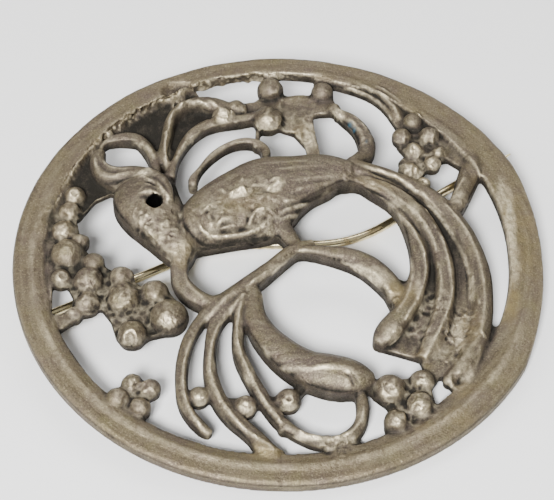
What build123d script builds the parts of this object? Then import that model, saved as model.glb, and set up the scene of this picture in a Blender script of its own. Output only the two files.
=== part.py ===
from build123d import *
import copy
import math
import os

# A round cast brooch, 54 mm across: a rim, and inside it a bird on a branch among leaves and
# berries, pierced through. A wire pin turns on a rivet behind the rim and closes in an open hook.
#
# The brooch is built with its back on the XY plane, its face up, and the top of the picture
# towards +Y. At the end every piece is tilted and lifted together, so that the brooch lies as it
# does on a table: on its hinge ears, its hook and the near edge of its rim.

# Driving dimensions, in millimetres and degrees

BROOCH_RADIUS = 27.0
RIM_WIDTH = 3.6
RIM_HEIGHT = 1.45
RIM_BAND_WIDTH = 2.2
RIM_HOLLOW = 0.06
RIM_SLOPE_DROP = 0.5
RIM_EDGE_RADIUS = 0.55
OPENING_NARROWER = 0.05
OPENING_TALLER = 0.6
OPENING_SHIFT_LEFT = 0.55
OPENING_SHIFT_UP = 0.5
FLAT_SIDE_DEPTH = 0.85
FLAT_SIDE_RADIUS = 35.0

STRAND_WIDTH = 1.9
STRAND_ROUNDNESS = 0.4
BODY_ROUNDNESS = 0.5
WING_ROUNDNESS = 0.3
ARCH_SLOPE = 0.3
RELIEF_HEIGHT = 3.4
WEB_HEIGHT = 1.0
RECESS_HEIGHT = 0.7
BERRY_RADIUS = 1.4
BERRY_SEAT = 0.95
BERRY_TAPER = 0.14
EYE_RADIUS = 0.8

PIN_RADIUS = 0.45
PIN_DEPTH = 2.5
PIN_POINT_LENGTH = 2.4
PIN_POINT_RADIUS = 0.07
PIN_BEND_RADIUS = 13.0
PIN_EYE_RADIUS = 1.0
PIN_EYE_WIDTH = 1.0
HINGE_LEAN = 20.0

RIVET_RADIUS = 0.42
RIVET_HEAD_RADIUS = 0.72
RIVET_HEAD_HEIGHT = 0.28
RIVET_CLEARANCE = 0.02
RUNNING_CLEARANCE = 0.05
EAR_RADIUS = 1.1
EAR_THICKNESS = 0.7
EAR_GAP = 0.06

HOOK_LENGTH = 2.6
HOOK_THICKNESS = 0.5
HOOK_ROOM = 0.15
HOOK_DROP = 1.3
HOOK_CURL_RADIUS = 0.42
HOOK_FOOT = 1.1
HOOK_CLEARANCE = 0.07

# How far solids reach into each other where they are one casting, or are soldered
ROOT = 0.35

# Rounds of finding where the tilted rim touches the floor
CONTACT_STEPS = 8

# Sizes worked out from these
FIELD_RADIUS = BROOCH_RADIUS - RIM_WIDTH
UNIT = FIELD_RADIUS / 100
OPENING_HALF_WIDTH = FIELD_RADIUS - OPENING_NARROWER
OPENING_HALF_HEIGHT = FIELD_RADIUS + OPENING_TALLER

# Strands of the relief, one arc-topped cross section a row on the strand's centre line:
# x and y in hundredths of FIELD_RADIUS, width in hundredths of STRAND_WIDTH, and crest, the
# height of its top above the back, in hundredths of RELIEF_HEIGHT.

CREST_CURL = [
    (-82.9, 53, 72, 50),
    (-83, 48.7, 80, 54),
    (-81, 43.9, 102, 60),
    (-77.3, 40.2, 130, 66),
    (-73, 38.6, 150, 70),
    (-68.2, 39.3, 130, 72),
    (-63.5, 39.5, 96, 76),
    (-58, 36.5, 84, 92),
    (-53.5, 31, 84, 106),
    (-50.5, 25, 66, 108),
    (-49, 20, 36, 100),
]
CREST_ARCH = [
    (-82.3, 56.5, 34, 42),
    (-79, 61.2, 42, 44),
    (-73, 63.5, 64, 46),
    (-67, 63, 66, 48),
    (-62.3, 58.5, 68, 50),
    (-59.2, 52.5, 62, 52),
    (-57.2, 45.5, 58, 58),
    (-55.5, 38, 56, 72),
]
LEAF_STEM = [
    (-53.2, 38, 50, 66),
    (-53.7, 50, 48, 56),
    (-53.4, 63, 54, 52),
    (-52.2, 73, 60, 50),
    (-48.8, 80.5, 66, 50),
    (-42, 85, 78, 52),
    (-35, 85, 94, 56),
    (-29, 83, 112, 56),
    (-24.5, 80, 100, 52),
]
FEATHER_LEAF = [
    (-49.6, 38, 40, 66),
    (-48.8, 48, 36, 54),
    (-46.2, 57.5, 44, 48),
    (-42.3, 65.5, 62, 48),
    (-36.5, 71.3, 68, 50),
    (-29, 74.3, 66, 50),
    (-20, 76, 60, 48),
    (-6, 77.5, 56, 46),
]
FREE_LEAF = [
    (-40.3, 36, 46, 50),
    (-38.4, 43.6, 34, 47),
    (-34.3, 51, 34, 45),
    (-28.5, 57.6, 36, 45),
    (-21.5, 61.8, 38, 47),
    (-15, 62.4, 42, 48),
    (-10, 59.6, 48, 50),
    (-8, 53, 48, 62),
    (-6, 46, 44, 70),
]
TOP_CURL = [
    (23, 81.5, 44, 46),
    (26.5, 80, 70, 48),
    (31.3, 75.6, 86, 50),
    (35, 70, 92, 52),
    (37, 63.7, 98, 54),
    (37, 58.5, 92, 56),
    (34.5, 53.5, 80, 64),
    (30, 48.5, 70, 78),
]
RIM_STRAND = [
    (22, 101.5, 50, 34),
    (34, 97, 54, 38),
    (43, 92, 70, 42),
    (49, 85.5, 84, 44),
    (52, 78.5, 50, 40),
]
FORK_LEAF = [
    (87, 63, 90, 34),
    (85.8, 56, 120, 40),
    (83.2, 48, 124, 47),
    (80.4, 39.5, 112, 54),
    (77.4, 31, 98, 56),
    (74, 23, 80, 60),
]
TAIL_OUTER = [
    (29, 47.5, 50, 78),
    (40, 45.3, 66, 68),
    (50, 41.3, 80, 64),
    (60.5, 35.6, 92, 62),
    (69.3, 28, 100, 60),
    (76.8, 16, 104, 60),
    (82, 3.5, 106, 58),
    (84.5, -8, 110, 56),
    (85, -20, 112, 54),
    (84, -32, 116, 52),
    (81.3, -43, 120, 50),
    (77, -53, 116, 50),
    (71.5, -60.5, 90, 46),
    (68.5, -63.5, 50, 42),
]
TAIL_MIDDLE = [
    (27, 43, 54, 80),
    (38, 40.5, 64, 70),
    (45.5, 36, 76, 66),
    (53.7, 29.5, 90, 64),
    (60.6, 19.8, 100, 62),
    (65.4, 9.5, 104, 62),
    (68.6, -2, 110, 60),
    (69.4, -14, 108, 58),
    (68.5, -25, 104, 58),
    (66.2, -36, 106, 56),
    (62.5, -46, 96, 54),
    (58, -53.5, 60, 48),
]
TAIL_INNER = [
    (27, 38, 40, 76),
    (37, 36, 44, 64),
    (44.3, 31, 54, 62),
    (51, 24.3, 68, 62),
    (55.3, 15.5, 84, 64),
    (58, 6, 96, 64),
    (59, -4, 102, 66),
    (58, -13, 108, 66),
    (55.3, -21.5, 114, 68),
    (52.5, -29, 110, 70),
    (48, -36, 118, 72),
    (43.2, -42.5, 118, 68),
    (41, -46, 84, 62),
    (40, -47.8, 44, 52),
]
LOWER_CURL = [
    (4, -0.7, 52, 60),
    (14, 0, 56, 60),
    (24, -1.2, 100, 62),
    (32.5, -4, 122, 64),
    (39.5, -9, 128, 64),
    (45, -15.5, 122, 64),
    (49.5, -23, 108, 64),
    (50.5, -30, 92, 64),
]
BRANCH = [
    (13.5, 4.5, 34, 56),
    (8, 2.3, 56, 60),
    (1.3, -3.2, 72, 64),
    (-3.7, -8.5, 78, 64),
    (-9.2, -14, 88, 64),
    (-14.7, -19.2, 98, 64),
    (-20.5, -25, 112, 64),
    (-26, -30, 90, 60),
]
LEG = [
    (-42, -1, 90, 84),
    (-43.6, -9, 94, 70),
    (-43.2, -15.8, 92, 62),
    (-39.7, -22, 96, 60),
    (-33.5, -27, 92, 60),
    (-25, -29, 84, 62),
]
OUTER_STEM = [
    (-24, -27, 90, 60),
    (-31.2, -33.3, 70, 56),
    (-35.8, -41, 58, 52),
    (-38.7, -49, 64, 50),
    (-40.1, -59, 66, 50),
    (-39.9, -69, 66, 50),
    (-38.3, -78, 64, 46),
    (-35, -84, 64, 44),
    (-31, -88.5, 62, 42),
    (-27, -91.5, 34, 36),
]
MIDDLE_STEM = [
    (-20.5, -26, 90, 62),
    (-25, -34, 78, 58),
    (-28.3, -43, 66, 54),
    (-29, -52, 62, 52),
    (-28.7, -61, 72, 52),
    (-26.7, -70, 80, 52),
    (-22.8, -78.5, 84, 52),
    (-16.5, -86, 86, 50),
    (-8.5, -93.5, 94, 46),
    (0, -101.5, 100, 40),
]
LOOP_STEM = [
    (-14.5, -25, 90, 64),
    (-17.6, -35, 70, 58),
    (-17.8, -45, 64, 54),
    (-16.6, -54, 68, 54),
    (-13.4, -62, 72, 54),
    (-9, -70.5, 72, 52),
    (-4.2, -78.5, 72, 50),
    (1, -85.5, 70, 48),
    (6.8, -90.3, 60, 46),
    (14, -93.6, 66, 44),
    (21.5, -94, 74, 44),
    (28, -91.5, 72, 44),
    (32.2, -86.3, 68, 44),
    (33.6, -80, 66, 46),
    (33.2, -74, 62, 48),
    (31, -67, 60, 60),
]
BUD = [
    (-13, -19.5, 70, 56),
    (-12, -25, 104, 62),
    (-11.3, -33, 114, 66),
    (-7.6, -42.5, 134, 72),
    (-1.3, -51, 160, 80),
    (6.5, -57.8, 186, 86),
    (15, -62, 210, 90),
    (23.5, -64, 224, 90),
    (30.5, -65, 190, 86),
    (35, -65.5, 130, 76),
    (38.4, -65.6, 64, 60),
]
BROW = [
    (-64, 25, 26, 94),
    (-60, 26.3, 32, 103),
    (-56, 26, 34, 106),
    (-52.8, 23.6, 32, 104),
    (-50.5, 19.5, 24, 98),
]
PERCH = [(-2, 15, 120, 60), (3, 8, 96, 56), (6.5, 2, 76, 54)]
RIM_SWELL = [
    (-100, -27, 40, 22),
    (-97.4, -36, 56, 25),
    (-89.6, -52.3, 76, 25),
    (-77.8, -68.6, 68, 25),
    (-67.5, -79.5, 44, 22),
]
LINK_LEAF = [(-12.3, 59, 34, 42), (-12.2, 66, 26, 38), (-11.5, 75, 40, 40)]
LINK_LEFT = [(-40, -73.5, 40, 34), (-33, -73.5, 50, 36), (-27, -73.5, 40, 34)]
LINK_MIDDLE = [(-22, -76, 50, 34), (-13.5, -76, 50, 36), (-6, -75, 40, 34)]
LINK_RIGHT = [(-6.5, -74, 50, 34), (3, -74, 60, 36), (10, -66, 60, 38)]

STRANDS = [
    CREST_CURL,
    CREST_ARCH,
    LEAF_STEM,
    FEATHER_LEAF,
    FREE_LEAF,
    TOP_CURL,
    RIM_STRAND,
    FORK_LEAF,
    TAIL_OUTER,
    TAIL_MIDDLE,
    TAIL_INNER,
    LOWER_CURL,
    BRANCH,
    LEG,
    OUTER_STEM,
    MIDDLE_STEM,
    LOOP_STEM,
    BUD,
    BROW,
    PERCH,
    RIM_SWELL,
    LINK_LEAF,
    LINK_LEFT,
    LINK_MIDDLE,
    LINK_RIGHT,
]

# The bird's masses, one upright slice a row. Body and wing are sliced across x, the head and
# neck across y. place, low and high in hundredths of FIELD_RADIUS, crest of RELIEF_HEIGHT.

BODY = [
    (-46, -4.5, 18, 70),
    (-38, -1.5, 26, 76),
    (-27, 1.4, 36, 78),
    (-15, 4.2, 42, 78),
    (-4, 7.2, 46, 76),
    (2, 12, 47, 76),
    (7, 20, 48, 76),
    (15, 29, 49.5, 74),
    (23, 35, 49.5, 74),
    (31, 37, 48, 72),
]
WING = [
    (-43.5, 9, 20, 82),
    (-38, 5.5, 29, 92),
    (-30, 5.5, 36.5, 98),
    (-20, 8, 44, 100),
    (-9, 12.5, 49, 100),
    (2, 20, 50.3, 98),
    (12, 28, 51.5, 94),
    (21, 34, 51.6, 90),
    (30, 38.5, 49, 84),
]
HEAD = [
    (-7, -47, -39, 68),
    (-2, -53.5, -37, 80),
    (4, -60, -37, 88),
    (11, -67.5, -39, 94),
    (19, -73, -42, 96),
    (27, -74.5, -45, 96),
    (33, -72, -47, 90),
    (37, -65, -49, 80),
]

# Berries and other round bosses: x and y in hundredths of FIELD_RADIUS, radius in hundredths of
# BERRY_RADIUS.

LEFT_BERRIES = [
    (-91.5, 28.7, 78),
    (-93, 19.7, 83),
    (-94.5, 8.6, 92),
    (-87, 3.8, 68),
    (-92, -3.7, 122),
    (-80.4, -7.9, 82),
    (-93.5, -16.5, 76),
    (-81.7, -18, 113),
    (-67.9, -15.4, 92),
    (-81.2, -29.3, 94),
    (-86.5, -35, 62),
    (-66.3, -26.6, 125),
    (-53.5, -22.9, 103),
    (-46.5, -35.7, 138),
    (-61.5, -44.7, 107),
]
LOW_LEFT_BERRIES = [
    (-59.9, -68.8, 76),
    (-52.4, -71, 75),
    (-65.3, -76, 82),
    (-55.9, -80.3, 76),
]
STEM_BERRIES = [
    (-32.5, -74.3, 74),
    (-13.5, -78.5, 80),
    (3.6, -75.1, 90),
]
LOW_RIGHT_BERRIES = [
    (44.7, -69, 113),
    (57.8, -64.6, 88),
    (56.6, -75.4, 90),
    (46.8, -84.2, 84),
]
RIGHT_BERRIES = [
    (58.3, 77, 76),
    (53, 68, 76),
    (65.7, 68.5, 84),
    (58.3, 59.4, 76),
    (70, 58.3, 62),
    (66.3, 52.5, 68),
    (55.6, 48.2, 80),
    (62, 40.7, 56),
]
TOP_BERRIES = [
    (-7, 94.5, 104),
    (17, 94, 88),
    (-7.7, 76, 116),
    (-22.5, 83, 76),
]
TIPS = [
    (-82.6, 53.5, 50),
    (22.6, 84.3, 52),
    (-40, 36.5, 38),
    (1.5, -88.5, 36),
    (68.8, -63.5, 40),
]
BERRIES = [
    *LEFT_BERRIES,
    *LOW_LEFT_BERRIES,
    *STEM_BERRIES,
    *LOW_RIGHT_BERRIES,
    *RIGHT_BERRIES,
    *TOP_BERRIES,
    *TIPS,
]

# Flat webs between the raised forms, by their corners in hundredths of FIELD_RADIUS

CREST_WEB = [
    (-68, 29), (-76, 31.5), (-82.5, 27.5), (-88.5, 17), (-104, 18), (-96, 54), (-85, 66),
    (-81, 61), (-84, 50), (-80, 42), (-72, 40),
]
LEFT_WEB = [
    (-104, 20), (-90, 17), (-87, 6), (-84, -1), (-77, -8), (-68, -13), (-59, -19), (-50, -18),
    (-44, -26), (-40, -34), (-43, -42), (-54, -45), (-58, -49), (-68, -46), (-71, -37),
    (-76, -30), (-84, -36), (-91, -42), (-104, -36),
]
LOW_LEFT_WEB = [
    (-55, -66), (-62, -67), (-67, -72), (-78, -80), (-62, -92), (-54, -86), (-52, -74),
]
LOW_RIGHT_WEB = [
    (34, -64), (44, -64), (56, -62), (61, -64), (68, -58), (80, -68), (62, -92), (46, -100),
    (42, -86), (44, -77), (38, -72),
]
LOW_RIGHT_WINDOW = [
    (61.6, -68), (66, -60.5), (70.5, -68), (63.8, -75.5),
]
TAIL_RIM_WEB = [(80, -34), (92, -35), (100, -40), (84, -74), (72, -79), (70.5, -68), (72, -58)]
TAIL_END_WEB = [
    (62, -38), (80, -46), (72, -66), (59.5, -60), (56.5, -50), (49, -44), (50, -34),
]
RIGHT_WEB = [
    (51, 74), (47, 82), (50, 92), (62, 88), (72, 80), (84, 66), (88, 48), (80, 42), (60, 36),
    (54, 46), (51, 54), (54.5, 58), (51, 63),
]
TOP_WEB = [
    (-10.5, 104), (-10, 95), (-11, 91), (-14, 88), (-26, 86), (-14, 77), (-12, 75.5), (-5, 73),
    (4, 69.5), (9.5, 62), (11.5, 50), (17, 50), (15.5, 62), (13.5, 73), (13, 81), (21, 82),
    (27, 82), (22.5, 90), (21, 104),
]
TOP_WINDOW = [
    (-3.5, 106), (-2.5, 93), (12.6, 93.5), (13.5, 106),
]
LOWER_CURL_WEB = [
    (43, -9), (50, -12), (55, -14), (54, -26), (46, -28), (42, -18),
]
LOOP_WEB = [(24, -95), (31, -90), (37, -97), (30, -106), (23, -104)]

WEBS = [
    CREST_WEB,
    LEFT_WEB,
    LOW_LEFT_WEB,
    LOW_RIGHT_WEB,
    TAIL_END_WEB,
    RIGHT_WEB,
    TOP_WEB,
    LOWER_CURL_WEB,
]
LEFT_WINDOW = [
    (-97, -20), (-93.4, -18.5), (-90.5, -20), (-88, -25), (-87.8, -31), (-92, -34.5), (-96, -34),
]
RIGHT_WINDOW = [
    (64, 49.5), (70, 54.5), (73, 56), (79.5, 51), (77, 42), (66, 32), (59, 36), (60.5, 44),
]
WINDOWS = [LOW_RIGHT_WINDOW, TOP_WINDOW, LEFT_WINDOW, RIGHT_WINDOW]

# Deeper, darker grounds behind the crest
CREST_RECESS = [
    (-52, 80), (-50, 92), (-60, 87), (-72, 77), (-82, 68), (-78, 61), (-67, 60), (-58, 56),
    (-52, 60),
]
FEATHER_RECESS = [
    (-53, 40), (-53, 64), (-51, 76), (-46, 84), (-36, 82), (-27, 80), (-28, 76), (-38, 70),
    (-45, 58),
]
LEAF_RECESS = [(-46, 82), (-52, 92), (-42, 96), (-36, 86)]
RECESSES = [CREST_RECESS, FEATHER_RECESS, LEAF_RECESS, LOOP_WEB, TAIL_RIM_WEB]

EYE_PLACE = (-55.9, 19.8)

# The pin's route: x and y in hundredths of FIELD_RADIUS, depth below the back in hundredths of
# PIN_DEPTH. It starts at the hinge.
PIN_ROUTE = [
    (-103.8, -29.6, 73),
    (-28.6, 14.6, 90),
    (30.3, 16.8, 94),
    (103.5, 68, 50),
]
HOOK_PLACE = 0.79


def unit_normal(before, after):
    """The level direction square to the way from one centre-line point to another, to its left."""
    run_x = after[0] - before[0]
    run_y = after[1] - before[1]
    run = math.hypot(run_x, run_y)
    return (-run_y / run, run_x / run)


def arch_profile(width, crest, roundness):
    """Outline of a cast form: a root below the back, upright sides and an arched top, which rises
    over the sides by at most the given share of the crest."""
    half = width / 2
    side = crest - min(ARCH_SLOPE * width, roundness * crest)
    with BuildSketch() as profile:
        with BuildLine():
            Polyline((-half, side), (-half, -ROOT), (half, -ROOT), (half, side))
            ThreePointArc((half, side), (0, crest), (-half, side))
        make_face()
    return profile.sketch


def strand(rows):
    """A strand lofted through the rows of its table."""
    last = len(rows) - 1
    with BuildPart() as solid:
        for index, (x, y, width, crest) in enumerate(rows):
            across = unit_normal(rows[max(index - 1, 0)], rows[min(index + 1, last)])
            along = (across[1], -across[0], 0)
            with BuildSketch(Plane((x * UNIT, y * UNIT, 0), x_dir=(*across, 0), z_dir=along)):
                add(
                    arch_profile(
                        width / 100 * STRAND_WIDTH, crest / 100 * RELIEF_HEIGHT, STRAND_ROUNDNESS
                    )
                )
        loft()
    return solid.part


def dome_profile(width, crest, roundness):
    """Outline of a mass: a root below the back, upright sides and a half-elliptic top, which
    takes up the given share of the crest."""
    half = width / 2
    rise = roundness * crest
    with BuildSketch() as profile:
        with BuildLine():
            Polyline((-half, crest - rise), (-half, -ROOT), (half, -ROOT), (half, crest - rise))
            EllipticalCenterArc((0, crest - rise), half, rise, 0, arc_size=180)
        make_face()
    return profile.sketch


def mass(rows, roundness, sliced_across_x):
    """A rounded mass of the bird, lofted through the parallel slices of its table."""
    with BuildPart() as solid:
        for place, low, high, crest in rows:
            middle = (low + high) / 2 * UNIT
            if sliced_across_x:
                slice_plane = Plane((place * UNIT, middle, 0), x_dir=(0, 1, 0), z_dir=(1, 0, 0))
            else:
                slice_plane = Plane((middle, place * UNIT, 0), x_dir=(-1, 0, 0), z_dir=(0, 1, 0))
            with BuildSketch(slice_plane):
                add(dome_profile((high - low) * UNIT, crest / 100 * RELIEF_HEIGHT, roundness))
        loft()
    return solid.part


def berry(x, y, radius_share):
    """A domed boss that narrows towards the back."""
    radius = radius_share / 100 * BERRY_RADIUS
    foot = radius * (1 - BERRY_TAPER)
    with BuildPart() as solid:
        with BuildSketch(Plane.XZ):
            with BuildLine():
                Polyline((0, BERRY_SEAT + radius), (0, -ROOT), (foot, -ROOT), (radius, BERRY_SEAT))
                RadiusArc((radius, BERRY_SEAT), (0, BERRY_SEAT + radius), -radius)
            make_face()
        revolve(axis=Axis.Z)
    return solid.part.moved(Location((x * UNIT, y * UNIT, 0)))


def plate(corners, height):
    """A flat web with its top at the given height above the back."""
    with BuildPart() as solid:
        with BuildSketch(Plane.XY.offset(-ROOT)):
            with BuildLine():
                Polyline(*[(x * UNIT, y * UNIT) for x, y in corners], close=True)
            make_face()
        extrude(amount=height + ROOT)
    return solid.part


def ground_between(first, second, height):
    """A flat web that fills the space between two strands, from centre line to centre line."""
    corners = [row[:2] for row in first] + [row[:2] for row in reversed(second)]
    return plate(corners, height)


def make_rim():
    """The rim: an upright outer wall with a rounded edge, flatter on its right side, a hollow
    band and an inner slope, round an opening that is a little oval and off centre."""
    band_inside = BROOCH_RADIUS - RIM_BAND_WIDTH
    band_outside = BROOCH_RADIUS - RIM_EDGE_RADIUS
    slope_inside = min(
        OPENING_HALF_WIDTH - abs(OPENING_SHIFT_LEFT), OPENING_HALF_HEIGHT - abs(OPENING_SHIFT_UP)
    )
    with BuildPart() as rim:
        with BuildSketch(Plane.XZ):
            with BuildLine():
                Polyline(
                    (slope_inside, RIM_HEIGHT - RIM_SLOPE_DROP),
                    (slope_inside, -ROOT),
                    (BROOCH_RADIUS, -ROOT),
                    (BROOCH_RADIUS, RIM_HEIGHT - RIM_EDGE_RADIUS),
                )
                RadiusArc(
                    (BROOCH_RADIUS, RIM_HEIGHT - RIM_EDGE_RADIUS),
                    (band_outside, RIM_HEIGHT),
                    -RIM_EDGE_RADIUS,
                )
                ThreePointArc(
                    (band_outside, RIM_HEIGHT),
                    ((band_outside + band_inside) / 2, RIM_HEIGHT - RIM_HOLLOW),
                    (band_inside, RIM_HEIGHT),
                )
                Line((band_inside, RIM_HEIGHT), (slope_inside, RIM_HEIGHT - RIM_SLOPE_DROP))
            make_face()
        revolve(axis=Axis.Z)
        with BuildSketch(Plane.XY.offset(-ROOT)):
            Circle(BROOCH_RADIUS + RIM_WIDTH)
            with Locations((BROOCH_RADIUS - FLAT_SIDE_DEPTH - FLAT_SIDE_RADIUS, 0)):
                Circle(FLAT_SIDE_RADIUS, mode=Mode.SUBTRACT)
            with Locations((-OPENING_SHIFT_LEFT, OPENING_SHIFT_UP)):
                Ellipse(OPENING_HALF_WIDTH, OPENING_HALF_HEIGHT)
        extrude(amount=ROOT + RIM_HEIGHT, mode=Mode.SUBTRACT)
    return rim.part


def pin_point(row):
    """A point of the pin's route."""
    x, y, depth = row
    return Vector(x * UNIT, y * UNIT, -depth / 100 * PIN_DEPTH)


# The pin and its hinge: the pivot's axis leans out of the back, so that the stem also moves
# sideways, out of the mouth of its hook.
pin_route = [pin_point(row) for row in PIN_ROUTE]
pivot = pin_route[0]
stem_start = (pin_route[1] - pivot).normalized()
level_start = Vector(stem_start.X, stem_start.Y, 0).normalized()
level_across = Vector(-level_start.Y, level_start.X, 0)
lean = math.radians(HINGE_LEAN)
pivot_axis = level_across * math.cos(lean) - Vector(0, 0, 1) * math.sin(lean)
hinge_plane = Plane(pivot, x_dir=level_start, z_dir=pivot_axis)
ear_inside = PIN_EYE_WIDTH / 2 + EAR_GAP
ear_outside = ear_inside + EAR_THICKNESS

hook_run = pin_route[3] - pin_route[2]
hook_middle = pin_route[2] + hook_run * HOOK_PLACE
hook_along = Vector(hook_run.X, hook_run.Y, 0).normalized()
hook_across = Vector(-hook_along.Y, hook_along.X, 0)


def make_ears():
    """The two hinge ears, with the bore for the rivet."""
    reach = -pivot.Z / math.cos(lean) + ROOT
    with BuildPart() as ears:
        for start, amount in ((ear_inside, EAR_THICKNESS), (-ear_inside, -EAR_THICKNESS)):
            with BuildSketch(hinge_plane.offset(start)):
                Circle(EAR_RADIUS)
                with Locations((0, -reach / 2)):
                    Rectangle(2 * EAR_RADIUS, reach)
                Circle(RIVET_RADIUS + RIVET_CLEARANCE, mode=Mode.SUBTRACT)
            extrude(amount=amount)
    return ears.part


def make_hook():
    """The open catch: a strip that comes down behind the stem and curls under it."""
    stem_depth = -hook_middle.Z
    inside = PIN_RADIUS + HOOK_ROOM
    outside = inside + HOOK_THICKNESS
    floor = -stem_depth - HOOK_DROP
    under = floor - HOOK_THICKNESS
    curl = floor + HOOK_CURL_RADIUS
    lip = (PIN_RADIUS + HOOK_CLEARANCE - HOOK_DROP * math.sin(lean)) / math.cos(lean)
    outer_curl = HOOK_CURL_RADIUS + HOOK_THICKNESS
    section = Plane(
        (hook_middle.X, hook_middle.Y, 0), x_dir=tuple(hook_across), z_dir=tuple(hook_along)
    ).offset(-HOOK_LENGTH / 2)
    with BuildPart() as hook:
        with BuildSketch(section):
            with BuildLine():
                Polyline(
                    (inside, curl),
                    (inside, ROOT),
                    (outside + HOOK_FOOT, ROOT),
                    (outside + HOOK_FOOT, -HOOK_THICKNESS),
                    (outside, -HOOK_THICKNESS),
                    (outside, curl),
                )
                RadiusArc((outside, curl), (inside - HOOK_CURL_RADIUS, under), outer_curl)
                Polyline(
                    (inside - HOOK_CURL_RADIUS, under),
                    (lip, under),
                    (lip, floor),
                    (inside - HOOK_CURL_RADIUS, floor),
                )
                RadiusArc((inside - HOOK_CURL_RADIUS, floor), (inside, curl), -HOOK_CURL_RADIUS)
            make_face()
        extrude(amount=HOOK_LENGTH)
    return hook.part


def make_eye_hole():
    """The bird's eye, a drilled hole."""
    with BuildPart() as hole:
        with Locations((EYE_PLACE[0] * UNIT, EYE_PLACE[1] * UNIT, 0)):
            Cylinder(EYE_RADIUS, 4 * RELIEF_HEIGHT)
    return hole.part


rim_part = make_rim()
strand_parts = [strand(rows) for rows in STRANDS]
bird_parts = [
    mass(BODY, BODY_ROUNDNESS, True),
    mass(WING, WING_ROUNDNESS, True),
    mass(HEAD, BODY_ROUNDNESS, False),
]
berry_parts = [berry(*row) for row in BERRIES]
web_parts = [plate(corners, WEB_HEIGHT) for corners in WEBS]
recess_parts = [plate(corners, RECESS_HEIGHT) for corners in RECESSES]
recess_parts.append(ground_between(TAIL_OUTER, TAIL_MIDDLE, WEB_HEIGHT))
recess_parts.append(ground_between(TAIL_MIDDLE, TAIL_INNER, WEB_HEIGHT))
window_parts = [plate(corners, 2 * WEB_HEIGHT) for corners in WINDOWS]
eye_hole = make_eye_hole()
ears_part = make_ears()
hook_part = make_hook()

with BuildPart() as webs:
    add(web_parts)
    add(window_parts, mode=Mode.SUBTRACT)

with BuildPart() as casting:
    add([rim_part, webs.part, *recess_parts, *strand_parts, *bird_parts, *berry_parts])
    add(eye_hole, mode=Mode.SUBTRACT)
    split(bisect_by=Plane.XY, keep=Keep.TOP)
    add([ears_part, hook_part])

with BuildPart() as hinge_rivet:
    for side in (1, -1):
        with BuildSketch(hinge_plane.offset(side * (ear_outside + RIVET_CLEARANCE))):
            Circle(RIVET_HEAD_RADIUS)
        extrude(amount=side * RIVET_HEAD_HEIGHT)
    with BuildSketch(hinge_plane.offset(-ear_outside - RIVET_CLEARANCE)):
        Circle(RIVET_RADIUS)
    extrude(amount=2 * (ear_outside + RIVET_CLEARANCE))

with BuildPart() as pin_stem:
    with BuildLine() as stem_line:
        stem_end = pin_route[3] - hook_run.normalized() * PIN_POINT_LENGTH
        FilletPolyline(pivot, pin_route[1], pin_route[2], stem_end, radius=PIN_BEND_RADIUS)
    with BuildSketch(Plane(pivot, z_dir=stem_line.line % 0)):
        Circle(PIN_RADIUS)
    sweep()
    with BuildSketch(hinge_plane.offset(-PIN_EYE_WIDTH / 2)):
        Circle(PIN_EYE_RADIUS)
    extrude(amount=PIN_EYE_WIDTH)
    with BuildSketch(Plane(stem_end, z_dir=stem_line.line % 1)):
        Circle(PIN_RADIUS)
    with BuildSketch(Plane(pin_route[3], z_dir=stem_line.line % 1)):
        Circle(PIN_POINT_RADIUS)
    loft()
    with BuildSketch(hinge_plane.offset(-PIN_EYE_WIDTH)):
        Circle(RIVET_RADIUS + RUNNING_CLEARANCE)
    extrude(amount=2 * PIN_EYE_WIDTH, mode=Mode.SUBTRACT)

# Lying on its back, the brooch stands on the lower hinge ear, the hook and the rim's near edge
ear_foot = hinge_plane.from_local_coords(Vector(0, EAR_RADIUS, ear_outside))
hook_foot = Vector(hook_middle.X, hook_middle.Y, hook_middle.Z - HOOK_DROP - HOOK_THICKNESS)
rim_foot = Vector(0, -BROOCH_RADIUS, 0)
for step in range(CONTACT_STEPS):
    floor_normal = (hook_foot - ear_foot).cross(rim_foot - ear_foot).normalized()
    if floor_normal.Z < 0:
        floor_normal = -floor_normal
    downhill = Vector(-floor_normal.X, -floor_normal.Y, 0).normalized()
    rim_foot = downhill * BROOCH_RADIUS
level_x = Vector(1, 0, -floor_normal.X / floor_normal.Z).normalized()
resting = Plane(rim_foot, x_dir=level_x, z_dir=floor_normal)

pieces = {"casting": casting.part, "hinge_rivet": hinge_rivet.part, "pin_stem": pin_stem.part}
lying = {name: resting.to_local_coords(piece) for name, piece in pieces.items()}
box = Compound(children=[copy.copy(piece) for piece in lying.values()]).bounding_box()
to_origin = Location((-box.center().X, -box.center().Y, -box.min.Z))

os.makedirs("parts", exist_ok=True)
for name, piece in lying.items():
    placed = piece.moved(to_origin)
    placed.label = name
    export_step(placed, f"parts/{name}.step")
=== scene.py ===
import math
from types import SimpleNamespace

import bpy
import numpy as np
from mathutils import Matrix, Vector


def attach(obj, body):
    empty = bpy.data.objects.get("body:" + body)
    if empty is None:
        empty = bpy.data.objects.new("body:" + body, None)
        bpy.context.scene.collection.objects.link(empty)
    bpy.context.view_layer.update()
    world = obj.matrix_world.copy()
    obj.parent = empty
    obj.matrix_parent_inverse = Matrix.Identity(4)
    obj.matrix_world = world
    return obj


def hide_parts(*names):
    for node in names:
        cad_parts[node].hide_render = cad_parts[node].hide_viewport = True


# The brooch lies tilted in the frame. Its relief is shaped in the brooch's own plane instead, in
# millimetres: x to the right of the picture, y to its top, z out of the flat back. The tables
# give places and widths in hundredths of FIELD_RADIUS, as they appear in the picture. A mark's
# level is the height of the metal it lies on, in mm, because what stands higher than TRACE_LEVEL
# appears further up in the picture.

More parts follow.
